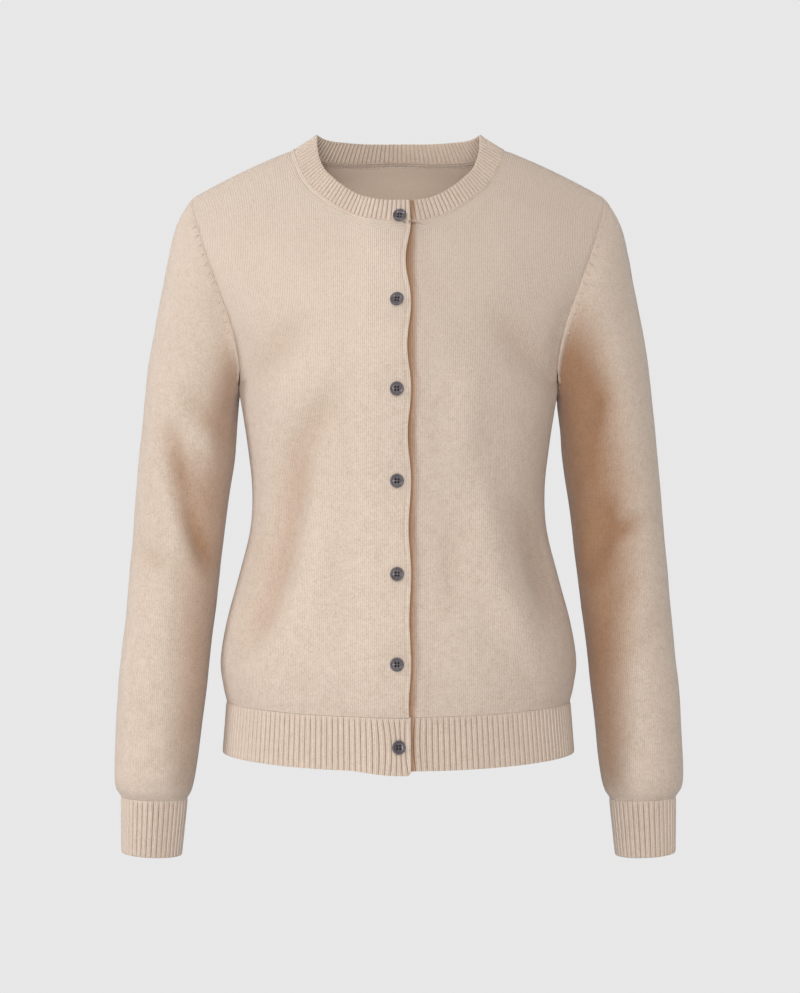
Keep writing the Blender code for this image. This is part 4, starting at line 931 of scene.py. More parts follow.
SLEEVE_CREASES = (
    # face, x0, z0, x1, z1, half_width, height
    (FRONT, -0.216, -0.300, -0.182, -0.390, 0.006, 0.0012),
    (FRONT, -0.240, -0.498, -0.212, -0.520, 0.009, -0.0012),
    (FRONT, -0.200, -0.540, -0.226, -0.556, 0.007, -0.0012),
    (FRONT, 0.200, -0.530, 0.232, -0.552, 0.008, -0.0012),
    (FRONT, 0.212, -0.375, 0.190, -0.392, 0.006, 0.0014),
    (BACK, -0.240, -0.480, -0.200, -0.510, 0.010, -0.0012),
    (BACK, 0.238, -0.500, 0.198, -0.470, 0.010, -0.0012),
)
SLEEVE_DOWN, SLEEVE_ROUND = 150, 84
SLEEVE_LENGTHS = {
    face: length_table(lambda a, r, face=face: sleeve_base(-face * a, r), math.pi, SLEEVE_ROWS)
    for face in (FRONT, BACK)
}
ARMHOLE_WALES, SLEEVE_FUZZ = 3.0, (0.45, 0.60)
# Along the inner arm the front of the sleeve turns in and falls back, further than the solid does.
INNER_FALLS = (
    # row, fall, right_from, right_to, left_from, left_to: in degrees round the sleeve
    (0.0, 12.0 * MM, 108.0, 146.0, 78.0, 142.0),
    (4.0, 12.0 * MM, 106.0, 142.0, 64.0, 122.0),
    (7.0, 10.0 * MM, 90.0, 150.0, 46.0, 120.0),
    (9.0, 10.0 * MM, 88.0, 150.0, 48.0, 122.0),
    (10.5, 10.0 * MM, 90.0, 150.0, 78.0, 138.0),
    (13.5, 8.0 * MM, 104.0, 150.0, 98.0, 150.0),
    (15.0, 3.0 * MM, 110.0, 150.0, 104.0, 150.0),
    (16.0, 0.0, 110.0, 150.0, 104.0, 150.0),
)
# How strongly the shade is painted on each sleeve, and the fold that would have all of it.
SLEEVE_DEEP, SLEEVE_DEEP_FOLD = {RIGHT: 0.62, LEFT: 1.15}, 13.0 * MM
# The fall that gets all of the inner arm's painted shade, how far from the armhole the fall grows,
# and where round the back it dies out.
FALL_DEEPEST, FALL_STARTS, FALL_BEHIND_FROM, FALL_BEHIND_TO = 12.0 * MM, 10.0 * MM, 190.0, 260.0
sleeve_face = knit_material("jersey_sleeve", WALE, SLEEVE_FUZZ, ARMHOLE_WALES * WALE)


def sleeve_lengths(angle, row):
    """Metres round the knit from its outer fold, and down it from the armhole."""
    front = (np.sin(angle) > 0)[..., None]
    on = [read_lengths(SLEEVE_LENGTHS[face], np.abs(angle), row) for face in (FRONT, BACK)]
    return np.where(front, *on)


def inner_fall(side, angle, row, from_armhole):
    """How far back the inner side falls."""
    fall_row, fall, right_from, right_to, left_from, left_to = np.array(INNER_FALLS).T
    starts, ends = (right_from, right_to) if side == RIGHT else (left_from, left_to)
    starts, ends = np.interp(row, fall_row, starts), np.interp(row, fall_row, ends)
    turn = np.degrees(np.mod(angle, math.tau))
    share = ease((turn - starts) / (ends - starts)) * ease(from_armhole / FALL_STARTS)
    share *= ease((FALL_BEHIND_TO - turn) / (FALL_BEHIND_TO - FALL_BEHIND_FROM))
    return share * np.interp(row, fall_row, fall)


def sleeve_skin(side, angle, row):
    """A sleeve's outer places, outward directions and painted shade, with its folds and tucks."""
    angle, row = matched(angle, row)
    normal = flip(side, sleeve_normal(angle, row))
    world = flip(side, sleeve_base(angle, row))
    lengths = sleeve_lengths(angle, row)
    half_round = read_lengths(SLEEVE_LENGTHS[FRONT], np.full_like(angle, math.pi), row)
    down_its_length = ease(row / FOLD_FADE_ROWS) * ease((SLEEVE_ROWS - row) / FOLD_FADE_ROWS)
    push, sinks = np.zeros_like(angle), np.zeros_like(angle)
    seam_z = through(BODY, armhole_row(angle))[SIDE_Z]
    for face in (FRONT, BACK):
        here = (np.sin(angle) > 0) == (face == FRONT)
        push += fold_push(SLEEVE_FOLDS + SLEEVE_CREASES, face, world) * here
        sinks += valley(face, seam_z, lengths[..., 1]) * here
    push = (push * np.sqrt(np.abs(np.sin(angle))) + unevenness(world)) * down_its_length
    push += seam_push(lengths[..., 1], half_round[..., 0] - lengths[..., 0])
    outer = world + normal * push[..., None]
    falls = inner_fall(side, angle, row, lengths[..., 1])
    outer[..., 1] += sinks + falls
    # Painted shade on the inner arm where it falls back, and in folds and hollows.
    deep = np.clip(SLEEVE_DEEP[side] * falls / FALL_DEEPEST - push / SLEEVE_DEEP_FOLD, 0, 1)
    return outer, normal, deep


def add_sleeve(side, name, node):
    angle, row = np.meshgrid(
        np.linspace(-math.pi, math.pi, SLEEVE_ROUND + 1),
        np.linspace(0, SLEEVE_ROWS, SLEEVE_DOWN + 1),
    )
    outer, normal, deep = sleeve_skin(side, angle, row)
    inward = -normal
    inward[0] = flip(side, armhole_inward(angle[0], for_sleeve=True))
    outer[:, -1], inward[:, -1] = outer[:, 0], inward[:, 0]
    lengths = sleeve_lengths(angle, row)
    round_armhole = sleeve_lengths(angle, np.zeros_like(row))[..., 0]
    maps = {
        "knit": np.stack([lengths[..., 0] * np.where(angle > 0, 1, -1), -lengths[..., 1]], axis=-1),
        "edge": np.stack([lengths[..., 1], round_armhole], axis=-1),
        "deep": np.stack([deep, np.zeros_like(deep)], axis=-1),
    }
    bm = lay_cloth(outer, maps, inward, joined={SLEEVE_DOWN})
    piece = add_piece(name, bm, [sleeve_face, jersey_inside], [node])


add_sleeve(RIGHT, "right_sleeve", "sleeve_right")
add_sleeve(LEFT, "left_sleeve", "sleeve_left")


# ---------------------------------------------------------------------------------------------
# Hem band. Knitted on below the body in a rib three wales wide, firmer than the jersey, in three
# parts that meet at the side seams. The right part laps over the left one with its front.
RIB_PITCH, RIB_WALES, RIB_BASE, RIB_FUZZ = 5.1 * MM, 3, 1.9 * MM, (0.30, 0.30)
RIB_STOPS = (0.0, 0.05, 0.10, 0.16, 0.24, 0.36, 0.5, 0.64, 0.76, 0.84, 0.90, 0.95)
RIB_CREST, RIB_GROOVE, GROOVE_WIDE = 0.45 * MM, 0.85 * MM, 0.13
RIB_DOWN = (0, 0.02, 0.045, 0.075, 0.12, 0.22, 0.36, 0.52, 0.68, 0.82, 0.92, 0.97, 1.0)
RIB_EDGE_ROUND = 0.7 * MM
RIB_STARTS, RIB_ENDS, RIB_AT_FOOT = 0.10, 0.05, 0.35
BAND_TUCK, BAND_TUCK_IN, BAND_MEETS = 0.8 * MM, 0.35 * MM, 0.03
HEM_FOOT = (0.1592, -0.5462, 0.000, 0.000, -0.1165, -0.5524, 0.1110, -0.5475, 2.25, 1.00, 2.0)
HEM_CORNER_DROP, HEM_CORNER_ROUND = 0.0035, 0.0045
RIBS_DRAWN, RIBS_DRAWN_WIDE, RIBS_FREE = 0.30, 0.016, 0.004  # in towards the last button
rib_face = knit_material("rib_face", RIB_PITCH / RIB_WALES, RIB_FUZZ, rib_pitch=RIB_PITCH)


def read_along(line, values, shares):
    """What a dense line's points carry, read at shares of its length."""
    length = lengths_along(line)
    want = shares * length[-1]
    return np.stack([np.interp(want, length, values[:, k]) for k in range(3)], axis=-1)


def rib_height(phase):
    """A wide rounded rib between two narrow grooves: 1 on its crest, 0 in a groove."""
    return 1 - dip(np.minimum(phase, 1 - phase), GROOVE_WIDE)


def ribbed_band(seam, free, seam_out, free_out, ribs, closed, shift=None, lapped_from=None):
    """A band of rounded ribs from its seam to its free edge, as a closed sheet. From the share
    lapped_from of its length on, it may lie under the lapped edge and gets its painted shade."""
    stops = np.array([rib + stop for rib in range(ribs) for stop in RIB_STOPS] + [ribs])
    high = rib_height(stops - np.floor(stops))
    shares, tall = stops / ribs, np.linalg.norm(free[0] - seam[0])
    places, inwards, knits = [], [], []
    for s in RIB_DOWN:
        grow = ease(s / RIB_STARTS)
        grow *= RIB_AT_FOOT + (1 - RIB_AT_FOOT) * ease((1 - s) / RIB_ENDS)
        moved = shares if shift is None else shift(shares, s)
        base = read_along(seam, seam, moved) * (1 - s) + read_along(free, free, moved) * s
        away = read_along(seam, seam_out, moved) * (1 - s) + read_along(free, free_out, moved) * s
        away = unit(away)
        stands = RIB_CREST * high - RIB_GROOVE * (1 - high)
        stands = stands * grow - BAND_TUCK_IN * (1 - ease(s / BAND_MEETS))
        places.append(base + away * stands[:, None])
        inwards.append(-away)
        knits.append(np.stack([stops * RIB_PITCH, np.full_like(stops, -s * tall)], axis=-1))
    places, inwards = np.array(places), np.array(inwards)
    if closed:
        places[:, -1], inwards[:, -1] = places[:, 0], inwards[:, 0]
    knits = np.array(knits)
    deep = np.zeros_like(knits)
    # Painted shade of the lapped edge.
    if lapped_from is not None:
        deep[..., 0] = under_lap(places) * (shares >= lapped_from)
    maps = {"knit": knits, "deep": deep}
    return lay_cloth(places, maps, inwards, RIB_BASE, RIB_EDGE_ROUND, joined={0})


def hem_line(side, face, columns, across):
    """A dense line round one part of the hem band, with its outward directions."""
    tiled = repeated(columns, len(across))
    base = section(tiled, face, across)
    ahead = section(tiled, face, np.minimum(across + EDGE_SMALL, 1))
    behind = section(tiled, face, np.maximum(across - EDGE_SMALL, -1))
    out = unit(np.cross(ahead - behind, np.array([0.0, 0.0, 1.0])) * (-face))
    if face == FRONT:
        base[:, 1] -= lap_lift(side, base[:, 0])
    return flip(side, base), flip(side, out)


def add_hem(side, face, name, node):
    top, foot = np.array(BODY[0], float), np.array(HEM_FOOT, float)
    past = EDGE_PAST_MIDDLE if side == RIGHT else UNDER_EDGE_PAST_MIDDLE
    starts = -math.pi / 2 if face == BACK else math.asin(-past / top[SIDE_X])
    across = np.sin(np.linspace(starts, math.pi / 2, LINE_POINTS))
    seam, seam_out = hem_line(side, face, top, across)
    free, free_out = hem_line(side, face, foot, across)
    seam[:, 2] += BAND_TUCK
    from_corner = lengths_along(free)
    if side == RIGHT and face == FRONT:
        near_edge = ease((LAP_STARTS - side * free[:, 0]) / LAP_STARTS)
        corner = np.clip(1 - from_corner / HEM_CORNER_ROUND, 0.0, 1.0)
        free[:, 2] += HEM_CORNER_ROUND * (1 - np.sqrt(1 - corner**2)) - HEM_CORNER_DROP * near_edge
    wide = from_corner[-1]

    def towards_button(shares, s):
        from_button = shares * wide - past
        pull = RIBS_DRAWN * math.sin(math.pi * s) * from_button * dip(from_button, RIBS_DRAWN_WIDE)
        return np.clip(shares - pull / wide * ease(shares * wide / RIBS_FREE), 0, 1)

    ribs = round(wide / RIB_PITCH)
    shift = towards_button if face == FRONT else None
    lapped_from = 0.0 if side == LEFT and face == FRONT else None
    bm = ribbed_band(seam, free, seam_out, free_out, ribs, False, shift, lapped_from)
    piece = add_piece(name, bm, [rib_face, rib_face], [node])


add_hem(LEFT, BACK, "hem_band_back", "hem_rib_back")
add_hem(RIGHT, FRONT, "hem_band_right", "hem_rib_right")
add_hem(LEFT, FRONT, "hem_band_left", "hem_rib_left")


# ---------------------------------------------------------------------------------------------
# Cuffs. Tubes of the same rib and yarn, knitted on at the end of each sleeve, which they draw
# in. They end in a plain edge.
CUFF_FOOT = (0.2490, -0.6350, 0.1955, -0.6380, -0.0225, 0.0295, 0.0295)
CUFF_RIBS = 38


def add_cuff(side, name, node):
    angle = np.linspace(0, 2 * math.pi, LINE_POINTS)
    lines, outs = [], []
    for columns in (SLEEVE[-1], CUFF_FOOT):
        line = flip(side, ring(repeated(columns, len(angle)), angle))
        out = line - line[:-1].mean(axis=0)
        out[:, 2] = 0.0
        lines.append(line)
        outs.append(unit(out))
    lines[0][:, 2] += BAND_TUCK
    bm = ribbed_band(*lines, *outs, CUFF_RIBS, True)
    piece = add_piece(name, bm, [rib_face, rib_face], [node])


add_cuff(RIGHT, "right_cuff", "cuff_right")
add_cuff(LEFT, "left_cuff", "cuff_left")


# ---------------------------------------------------------------------------------------------
# Neckband. One strip of narrower rib in the same yarn, doubled and linked round the neckline.
# Its ends lap with the fronts, and the top button holds them together.
NECKBAND = (
    # angle, lean, rise
    (-10.0, 0.0075, 0.0185),
    (0.0, 0.0075, 0.0185),
    (45.0, 0.0110, 0.0175),
    (80.0, 0.0195, 0.0135),
    (90.0, 0.0205, 0.0127),
    (110.0, 0.0165, 0.0180),
    (145.0, 0.0085, 0.0208),
    (180.0, 0.0045, 0.0192),
)
NECK_RIB_PITCH = 4.4 * MM
NECKBAND_START, NECKBAND_TUCK = 0.8 * MM, 1.2 * MM
# From this share of its length on, the neckband gets the lapped edge's painted shade.
NECKBAND_LAPPED_FROM = 0.9  # share of its length from which it may lie under its other end
LEANS_UP = np.array([0.0, 0.0, 0.5])


def neckband_lines():
    """The neckband's seam line and free edge, from the right end round the neck to the left."""
    right_end = math.degrees(math.asin(EDGE_PAST_MIDDLE / NECK_HALF_WIDTH))
    left_end = math.degrees(math.asin(UNDER_EDGE_PAST_MIDDLE / NECK_HALF_WIDTH))
    right_angles = np.linspace(-right_end, 180, LINE_POINTS)
    left_angles = np.linspace(180, -left_end, LINE_POINTS)[1:]
    table_angle, table_lean, table_rise = np.array(NECKBAND).T
    foot, head, out = [], [], []
    for side, angles in ((RIGHT, right_angles), (LEFT, left_angles)):
        face, across, row = neckline(angles)
        seam = np.where(
            (face == FRONT)[:, None],
            body_base(FRONT, across, row),
            body_base(BACK, across, row),
        )
        lean = np.interp(angles, table_angle, table_lean)
        rise = np.interp(angles, table_angle, table_rise)
        a = np.radians(angles)
        middle_out = np.stack([np.sin(a), -np.cos(a), np.zeros_like(a)], axis=-1)
        way = -middle_out * lean[:, None]
        way[:, 2] = rise
        tangent = np.gradient(seam, axis=0) * (1 if side == RIGHT else -1)
        away = unit(np.cross(unit(way), unit(tangent)))
        away = away * np.sign(dot(away, middle_out + LEANS_UP))
        lift = lap_lift(side, seam[:, 0])
        lift = np.where(np.asarray(angles) < 90, lift, 0.0)
        start = seam + unit(way) * NECKBAND_START
        start[:, 1] -= lift / np.maximum(-away[:, 1], LEAST_FACING)
        foot.append(flip(side, start))
        head.append(flip(side, start + way))
        out.append(flip(side, away))
    return np.concatenate(foot), np.concatenate(head), np.concatenate(out)


neck_foot, neck_head, neck_out = neckband_lines()
neck_long = lengths_along(neck_foot)[-1]
neck_tucked = neck_foot - unit(neck_head - neck_foot) * (NECKBAND_START + NECKBAND_TUCK)
neckband = add_piece(
    "neck_band",
    ribbed_band(
        neck_tucked, neck_head, neck_out, neck_out, round(neck_long / NECK_RIB_PITCH), False,
        lapped_from=NECKBAND_LAPPED_FROM,
    ),
    [rib_face, rib_face], ["neckband"],
)


# ---------------------------------------------------------------------------------------------
# Seams. The panels are linked with the same yarn, loop by loop, which leaves a fine sunk line
# down the sides, over the shoulders, round the armholes and along the inner arms.
YARN_RADIUS, YARN_STITCH, YARN_SIDES, YARN_SWELLS = 0.42 * MM, 1.6 * MM, 6, 0.25
YARN_SUNK = SEAM_TUCK + 0.65 * MM
PLY, PLY_HIGH, PLY_BUMP = (900.0, 2.0, 1.2), 0.2 * MM, 0.8
linking, tree, shader, spot = new_material("linking_yarn")
ply = grain(tree, spot, *PLY)
tree.links.new(
    mixed(tree, calc(tree, "ADD", ply, YARN_LIGHT), YARN_SHADE, YARN), shader.inputs["Base Color"]
)
add_bump(tree, shader, ply, PLY_HIGH, PLY_BUMP)
set_finish(shader, YARN_FINISH)


def add_yarn(name, line, out):
    """One linking yarn, thick and thin with its stitches, that lies sunk in a seam."""
    steps = round(lengths_along(line)[-1] / (YARN_STITCH / 2))
    shares = np.linspace(0, 1, steps + 1)
    away = unit(read_along(line, out, shares))
    middle = read_along(line, line, shares) - away * YARN_SUNK
    beside = unit(np.cross(np.gradient(middle, axis=0), away))
    turn = np.linspace(0, math.tau, YARN_SIDES + 1)[None, :, None]
    swell = YARN_RADIUS * (1 + YARN_SWELLS * np.cos(np.pi * np.arange(steps + 1)))
    spoke = np.cos(turn) * away[:, None] + np.sin(turn) * beside[:, None]
    bm = grid_on(middle[:, None] + swell[:, None, None] * spoke, {})
    bmesh.ops.holes_fill(bm, edges=[edge for edge in bm.edges if edge.is_boundary], sides=0)
    bmesh.ops.recalc_face_normals(bm, faces=bm.faces[:])
    add_piece(name, bm, [linking])


for side, word in ((RIGHT, "right"), (LEFT, "left")):
    up_side = np.linspace(0, UNDERARM_ROW, LINE_POINTS)
    side_out = np.broadcast_to([side, 0.0, 0.0], (LINE_POINTS, 3))
    add_yarn(f"{word}_side_seam", flip(side, body_base(FRONT, 1.0, up_side)), side_out)
    over = np.linspace(NECK_ACROSS, 1.0, LINE_POINTS)
    over_out = body_normal(FRONT, over, SHOULDER_ROW) + body_normal(BACK, over, SHOULDER_ROW)
    over_line = body_base(FRONT, over, SHOULDER_ROW)
    add_yarn(f"{word}_shoulder_seam", flip(side, over_line), flip(side, unit(over_out)))
    down_arm = np.linspace(0, SLEEVE_ROWS, LINE_POINTS)
    under_arm, under_out, _ = sleeve_skin(side, math.pi, down_arm)
    add_yarn(f"{word}_sleeve_seam", under_arm + SEAM_TUCK * under_out, under_out)
    round_arm = np.linspace(-math.pi, math.pi, LINE_POINTS)
    arm_line = sleeve_base(round_arm, 0.0)
    seam_z = through(BODY, armhole_row(round_arm))[SIDE_Z]
    arm_line[:, 1] += np.where(
        round_arm > 0, valley(FRONT, seam_z, 0.0), valley(BACK, seam_z, 0.0)
    )
    arm_out = -armhole_inward(round_arm, for_sleeve=True)
    add_yarn(f"{word}_armhole_seam", flip(side, arm_line), flip(side, arm_out))


# ---------------------------------------------------------------------------------------------
# Stitches that show on their own: the chain along the neckband's seam, the linked loops inside
# the back of the neck, the narrowings beside each armhole and the ends of the buttonholes.
CHAIN_PITCH, CHAIN_SIZE, CHAIN_OUT = 1.75 * MM, (1.9 * MM, 1.2 * MM, 1.3 * MM), 0.30 * MM
LOOP_SIZE, LOOP_UP, LOOP_IN = (2.0 * MM, 2.3 * MM, 1.0 * MM), (1.0 * MM, 3.0 * MM), 2.9 * MM
LOOPS_FROM_Y = 0.0
NARROWING_FROM_SEAM, NARROWING_SIZE = 4.5 * MM, (4.6 * MM, 1.8 * MM, 2.0 * MM)
NARROWING_Z = np.linspace(-0.070, -0.166, 12)
NARROWING_WAY, NARROWING_WITHIN_ROWS = (0.72, 0.0, 0.69), 1.5
STITCH_ROUND, STITCH_UP = 6, 4


def add_stitches(name, spots):
    """Small stitches as one mesh. Each spot: its place, the way it runs, outward, its size."""
    bm = bmesh.new()
    for place, along, out, size in spots:
        along, out = Vector(along).normalized(), Vector(out)
        out = (out - along * out.dot(along)).normalized()
        turned = Matrix((along, out.cross(along), out)).transposed().to_4x4()
        bmesh.ops.create_uvsphere(
            bm, u_segments=STITCH_ROUND, v_segments=STITCH_UP, radius=0.5,
            matrix=Matrix.Translation(place) @ turned @ Matrix.Diagonal((*size, 1)),
        )
    add_piece(name, bm, [linking])


def stitches_along(line, out, pitch, size, offset):
    shares = np.linspace(0, 1, round(lengths_along(line)[-1] / pitch))
    places, aways = read_along(line, line, shares), unit(read_along(line, out, shares))
    runs = np.gradient(places, axis=0)
    return [(p + a * offset, r, a, size) for p, a, r in zip(places, aways, runs)]


chain_line = neck_foot - unit(neck_head - neck_foot) * NECKBAND_START
chain = stitches_along(chain_line, neck_out, CHAIN_PITCH, CHAIN_SIZE, CHAIN_OUT)
add_stitches("neck_chain", chain)
behind = neck_foot[:, 1] > LOOPS_FROM_Y
loops = []
for loop_up in LOOP_UP:
    loop_line = (neck_foot + unit(neck_head - neck_foot) * loop_up)[behind]
    loops += stitches_along(loop_line, neck_out[behind], CHAIN_PITCH, LOOP_SIZE, -LOOP_IN)
add_stitches("neck_linking_loops", loops)
for side, word in ((RIGHT, "right"), (LEFT, "left")):
    spots = []
    for face in (FRONT, BACK):
        for angle in -face * armhole_angle(NARROWING_Z):
            rows = np.linspace(0, NARROWING_WITHIN_ROWS, LINE_POINTS)
            down = sleeve_lengths(np.full_like(rows, angle), rows)[:, 1]
            at_row = np.interp(NARROWING_FROM_SEAM, down, rows)
            place, out, _ = sleeve_skin(side, angle, at_row)
            way = flip(-side, np.array(NARROWING_WAY))
            spots.append((Vector(place), way, out, NARROWING_SIZE))
    add_stitches(f"{word}_narrowings", spots)


# ---------------------------------------------------------------------------------------------
# Buttons. Seven turned resin discs with a raised rim and four holes, sewn to the left front on
# a thread shank and passed through the right one.
BUTTON_RADIUS = 6.1 * MM
BUTTON_PROFILE = (
    # radius, height
    (0.0, 0.0), (4.9 * MM, 0.0), (5.8 * MM, 0.5 * MM), (6.1 * MM, 1.3 * MM),
    (6.0 * MM, 1.9 * MM), (5.6 * MM, 2.4 * MM), (5.0 * MM, 2.45 * MM), (4.6 * MM, 2.0 * MM),
    (4.3 * MM, 1.3 * MM), (3.8 * MM, 1.1 * MM), (2.0 * MM, 1.05 * MM), (0.0, 1.05 * MM),
)
BUTTON_SIDES = 40
HOLES, HOLE_RADIUS, HOLE_FROM_MIDDLE, HOLE_SIDES = 4, 0.95 * MM, 1.75 * MM, 12
FIRST_HOLE_TURN, DRILL_LENGTH = 45, 10.0 * MM
BUTTON_LIFT, RIB_SEAT = 0.5 * MM, 0.9 * MM
# The thread shank is real, but it is made near black and wide enough to lie behind all four holes,
# so it is also the painted shade seen through them.
SHANK_RADIUS, SHANK_SIDES = 2.9 * MM, 16
HORN, HORN_LIGHT = (0.085, 0.075, 0.086, 1.0), (0.165, 0.150, 0.162, 1.0)
HORN_STREAKS = {"Scale": 330.0, "Detail": 3.0, "Distortion": 1.2}
HORN_FINISH = {"Roughness": 0.22, "Specular IOR Level": 0.6}
THREAD_AND_HOLE_SHADE = (0.016, 0.011, 0.010, 1.0)
THREAD_FINISH = {"Base Color": THREAD_AND_HOLE_SHADE, "Roughness": 0.9}
THREAD_TWIST, THREAD_HIGH, THREAD_BUMP = {"Scale": 900.0, "Distortion": 2.0}, 0.1 * MM, 0.7

horn, tree, shader, spot = new_material("dark_horn_resin")
streak = add_node(tree, "ShaderNodeTexNoise", {"Vector": spot, **HORN_STREAKS})
tree.links.new(mixed(tree, streak.outputs[0], HORN, HORN_LIGHT), shader.inputs["Base Color"])
set_finish(shader, HORN_FINISH)

thread, tree, shader, spot = new_material("dark_thread_and_hole_shade")
twist = add_node(tree, "ShaderNodeTexWave", {"Vector": spot, **THREAD_TWIST})
add_bump(tree, shader, twist.outputs[1], THREAD_HIGH, THREAD_BUMP)
set_finish(shader, THREAD_FINISH)


def turned_disc():
    bm = bmesh.new()
    verts = [bm.verts.new((radius, 0, height)) for radius, height in BUTTON_PROFILE]
    edges = [bm.edges.new(pair) for pair in zip(verts, verts[1:])]
    bmesh.ops.spin(
        bm, geom=verts + edges, cent=(0, 0, 0), axis=(0, 0, 1), angle=math.tau,
        steps=BUTTON_SIDES, use_merge=True,
    )
    bmesh.ops.remove_doubles(bm, verts=bm.verts[:], dist=MERGE)
    bmesh.ops.recalc_face_normals(bm, faces=bm.faces[:])
    return bm


blank = plain_object("blank", turned_disc())
drills = []
for number in range(HOLES):
    bm = bmesh.new()
    bmesh.ops.create_cone(
        bm, cap_ends=True, segments=HOLE_SIDES, radius1=HOLE_RADIUS, radius2=HOLE_RADIUS,
        depth=DRILL_LENGTH,
    )
    turn = math.radians(FIRST_HOLE_TURN + 360 * number / HOLES)
    hole_at = Vector((math.cos(turn), math.sin(turn), 0)) * HOLE_FROM_MIDDLE
    bmesh.ops.translate(bm, verts=bm.verts[:], vec=hole_at)
    drill = plain_object(f"drill_{number}", bm)
    drills.append(drill)
    hole = blank.modifiers.new(drill.name, "BOOLEAN")
    hole.solver = "EXACT"
    hole.object = drill
bpy.context.view_layer.update()
drilled = bpy.data.meshes.new_from_object(
    blank.evaluated_get(bpy.context.evaluated_depsgraph_get())
)
for helper in [blank] + drills:
    bpy.data.objects.remove(helper, do_unlink=True)


def button_seat(x, z):
    """Where the middle of a button's back lies, which way it faces, and how high ribs rise."""
    hem_seam_z, hem_foot_z = BODY[0][FRONT_MID_Z], HEM_FOOT[FRONT_MID_Z]
    if z < hem_seam_z:
        share = (z - hem_seam_z) / (hem_foot_z - hem_seam_z)
        columns = np.array(BODY[0]) + (np.array(HEM_FOOT) - np.array(BODY[0])) * share
        seat = section(columns, FRONT, np.array(x / columns[SIDE_X]))
        return seat, np.array([0.0, -1.0, 0.0]), RIB_SEAT
    middle = int(np.argmin(np.abs(neck_foot[: LINE_POINTS // 2, 0] - x)))
    low, high = neck_foot[middle], neck_head[middle]
    if z > low[2]:
        seat = low + (high - low) * (z - low[2]) / (high[2] - low[2])
        seat[1] += LAP / -neck_out[middle, 1]
        return seat, neck_out[middle], RIB_SEAT
    rows = np.linspace(0, NECK_BELOW_ROW + 2, TABLE_STEPS)
    row = np.interp(z, body_base(FRONT, 0.0, rows)[:, 2], rows)
    seat = body_base(FRONT, 0.0, row)
    seat[0] = x
    return seat, body_normal(FRONT, 0.0, row), 0.0


HOLE_STITCHES, HOLE_STITCH_SIZE = 7, (1.2 * MM, 2.0 * MM, 1.0 * MM)
BUTTONHOLE_REACH = (7.4, 5.6, 5.2, 5.4, 6.6, 5.4, 5.0)  # in mm, left of each button's middle
buttonhole_spots, shanks = [], bmesh.new()
for number, (x, z, _, looks_up, looks_left) in enumerate(BUTTONS, start=1):
    seat, facing, raised = button_seat(x, z)
    tips = math.radians(math.hypot(looks_up, looks_left))
    up = math.atan2(facing[2], -facing[1]) + math.radians(looks_up)
    lift = LAP + raised + BUTTON_LIFT + BUTTON_RADIUS * math.sin(tips)
    turned = Matrix.Rotation(math.radians(looks_left), 4, "Z")
    turned = turned @ Matrix.Rotation(math.pi / 2 - up, 4, "X")
    bm = bmesh.new()
    bm.from_mesh(drilled)
    bmesh.ops.transform(
        bm, matrix=Matrix.Translation(Vector(seat + facing * lift)) @ turned, verts=bm.verts[:]
    )
    add_piece(f"shirt_button_{number}", bm, [horn], [f"button_{number}"])
    # The shank, which is also the painted shade behind the holes.
    long = lift - LAP
    bmesh.ops.create_cone(
        shanks, cap_ends=True, segments=SHANK_SIDES, radius1=SHANK_RADIUS, radius2=SHANK_RADIUS,
        depth=long, matrix=Matrix.Translation(Vector(seat + facing * (lift - long / 2)))
        @ Vector(facing).to_track_quat("Z", "Y").to_matrix().to_4x4(),
    )
    on_cloth = Vector(seat + facing * (LAP + raised))
    for stitch in range(HOLE_STITCHES):
        step = stitch * HOLE_STITCH_SIZE[0] - BUTTONHOLE_REACH[number - 1] * MM
        spot = on_cloth + Vector((step, 0, 0))
        buttonhole_spots.append((spot, (1, 0, 0), facing, HOLE_STITCH_SIZE))
add_piece("button_shanks", shanks, [thread])
add_stitches("buttonhole_stitches", buttonhole_spots)


# ---------------------------------------------------------------------------------------------
# Studio. A pale floor that sweeps up into a backdrop, whose far part glows evenly, and soft
# light from the viewer's left.
SWEEP_WIDE, FLOOR_Z, SWEEP_BACK, SWEEP_FRONT, SWEEP_TOP = 4.0, -1.15, 2.9, -1.8, 1.5
SWEEP_ROUND, SWEEP_STEPS = 0.35, 12
BACKDROP_GLOWS, FLOOR_PAPER, BACKDROP_PAPER = 0.795, 0.45, 0.01
GLOW_FROM_Y, GLOW_TO_Y = 1.1, 1.75
PAPER_FINISH = {"Emission Strength": 1.0, "Roughness": 1.0, "Specular IOR Level": 0.0}
bm = bmesh.new()
verts = [bm.verts.new((-SWEEP_WIDE / 2, SWEEP_FRONT, FLOOR_Z))]
for step in range(SWEEP_STEPS + 1):
    turn = math.radians(90 * step / SWEEP_STEPS)
    verts.append(bm.verts.new((
        -SWEEP_WIDE / 2, SWEEP_BACK - SWEEP_ROUND + SWEEP_ROUND * math.sin(turn),
        FLOOR_Z + SWEEP_ROUND - SWEEP_ROUND * math.cos(turn),
    )))
verts.append(bm.verts.new((-SWEEP_WIDE / 2, SWEEP_BACK, SWEEP_TOP)))
edges = [bm.edges.new(pair) for pair in zip(verts, verts[1:])]
grown = bmesh.ops.extrude_edge_only(bm, edges=edges)["geom"]
bmesh.ops.translate(
    bm, verts=[g for g in grown if isinstance(g, bmesh.types.BMVert)], vec=(SWEEP_WIDE, 0, 0)
)
bmesh.ops.recalc_face_normals(bm, faces=bm.faces[:])
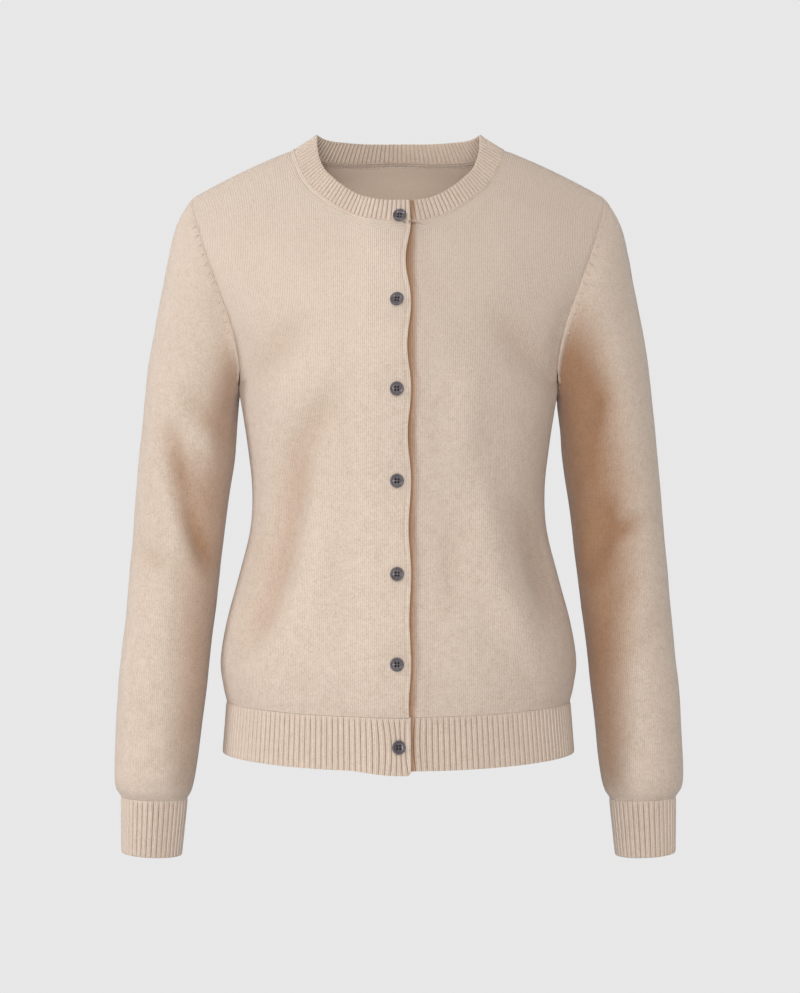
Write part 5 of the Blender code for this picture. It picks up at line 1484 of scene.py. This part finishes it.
sweep = plain_object("studio_sweep", bm)
sweep.data.shade_smooth()
paper, tree, shader, spot = new_material("pale_paper")
back_at = add_node(tree, "ShaderNodeSeparateXYZ", {0: spot}).outputs[1]
glow = calc(
    tree, "DIVIDE", calc(tree, "SUBTRACT", back_at, GLOW_FROM_Y), GLOW_TO_Y - GLOW_FROM_Y,
    clamp=True,
)
for socket, near, far in (
    ("Base Color", FLOOR_PAPER, BACKDROP_PAPER), ("Emission Color", 0.0, BACKDROP_GLOWS)
):
    greys = [(grey, grey, grey, 1.0) for grey in (near, far)]
    tree.links.new(mixed(tree, glow, *greys), shader.inputs[socket])
set_finish(shader, PAPER_FINISH)
sweep.data.materials.append(paper)

WORLD_LIGHT, WORLD_COLOUR = 0.13, (1.0, 0.82, 0.64, 1.0)
LIGHTS_AIM, LIGHTS_AWAY = (0, 0, -0.3), 2.9
LIGHTS = (
    # name, azimuth, elevation, power, wide
    ("key", -76, 18, 33.0, 1.1),
    ("front", 0, 17, 31.0, 1.7),
    ("low", 0, -8, 31.0, 1.5),
    ("top", 0, 88, 17.0, 1.7),
    ("rim_right", -115, 20, 17.0, 1.7),
    ("rim_left", 115, 20, 17.0, 1.7),
)
world = bpy.data.worlds.new("studio")
world.use_nodes = True
world.node_tree.nodes["Background"].inputs[0].default_value = WORLD_COLOUR
world.node_tree.nodes["Background"].inputs[1].default_value = WORLD_LIGHT
bpy.context.scene.world = world
for name, azimuth, elevation, power, wide in LIGHTS:
    light_data = bpy.data.lights.new(name, "AREA")
    light_data.shape = "DISK"
    light_data.size = wide
    light_data.energy = power
    light = bpy.data.objects.new(name, light_data)
    a, e = math.radians(azimuth), math.radians(elevation)
    way = Vector((math.sin(a) * math.cos(e), -math.cos(a) * math.cos(e), math.sin(e)))
    light.location = Vector(LIGHTS_AIM) + way * LIGHTS_AWAY
    light.rotation_euler = way.to_track_quat("Z", "Y").to_euler()
    bpy.context.scene.collection.objects.link(light)
bpy.context.scene.view_settings.view_transform = "Standard"
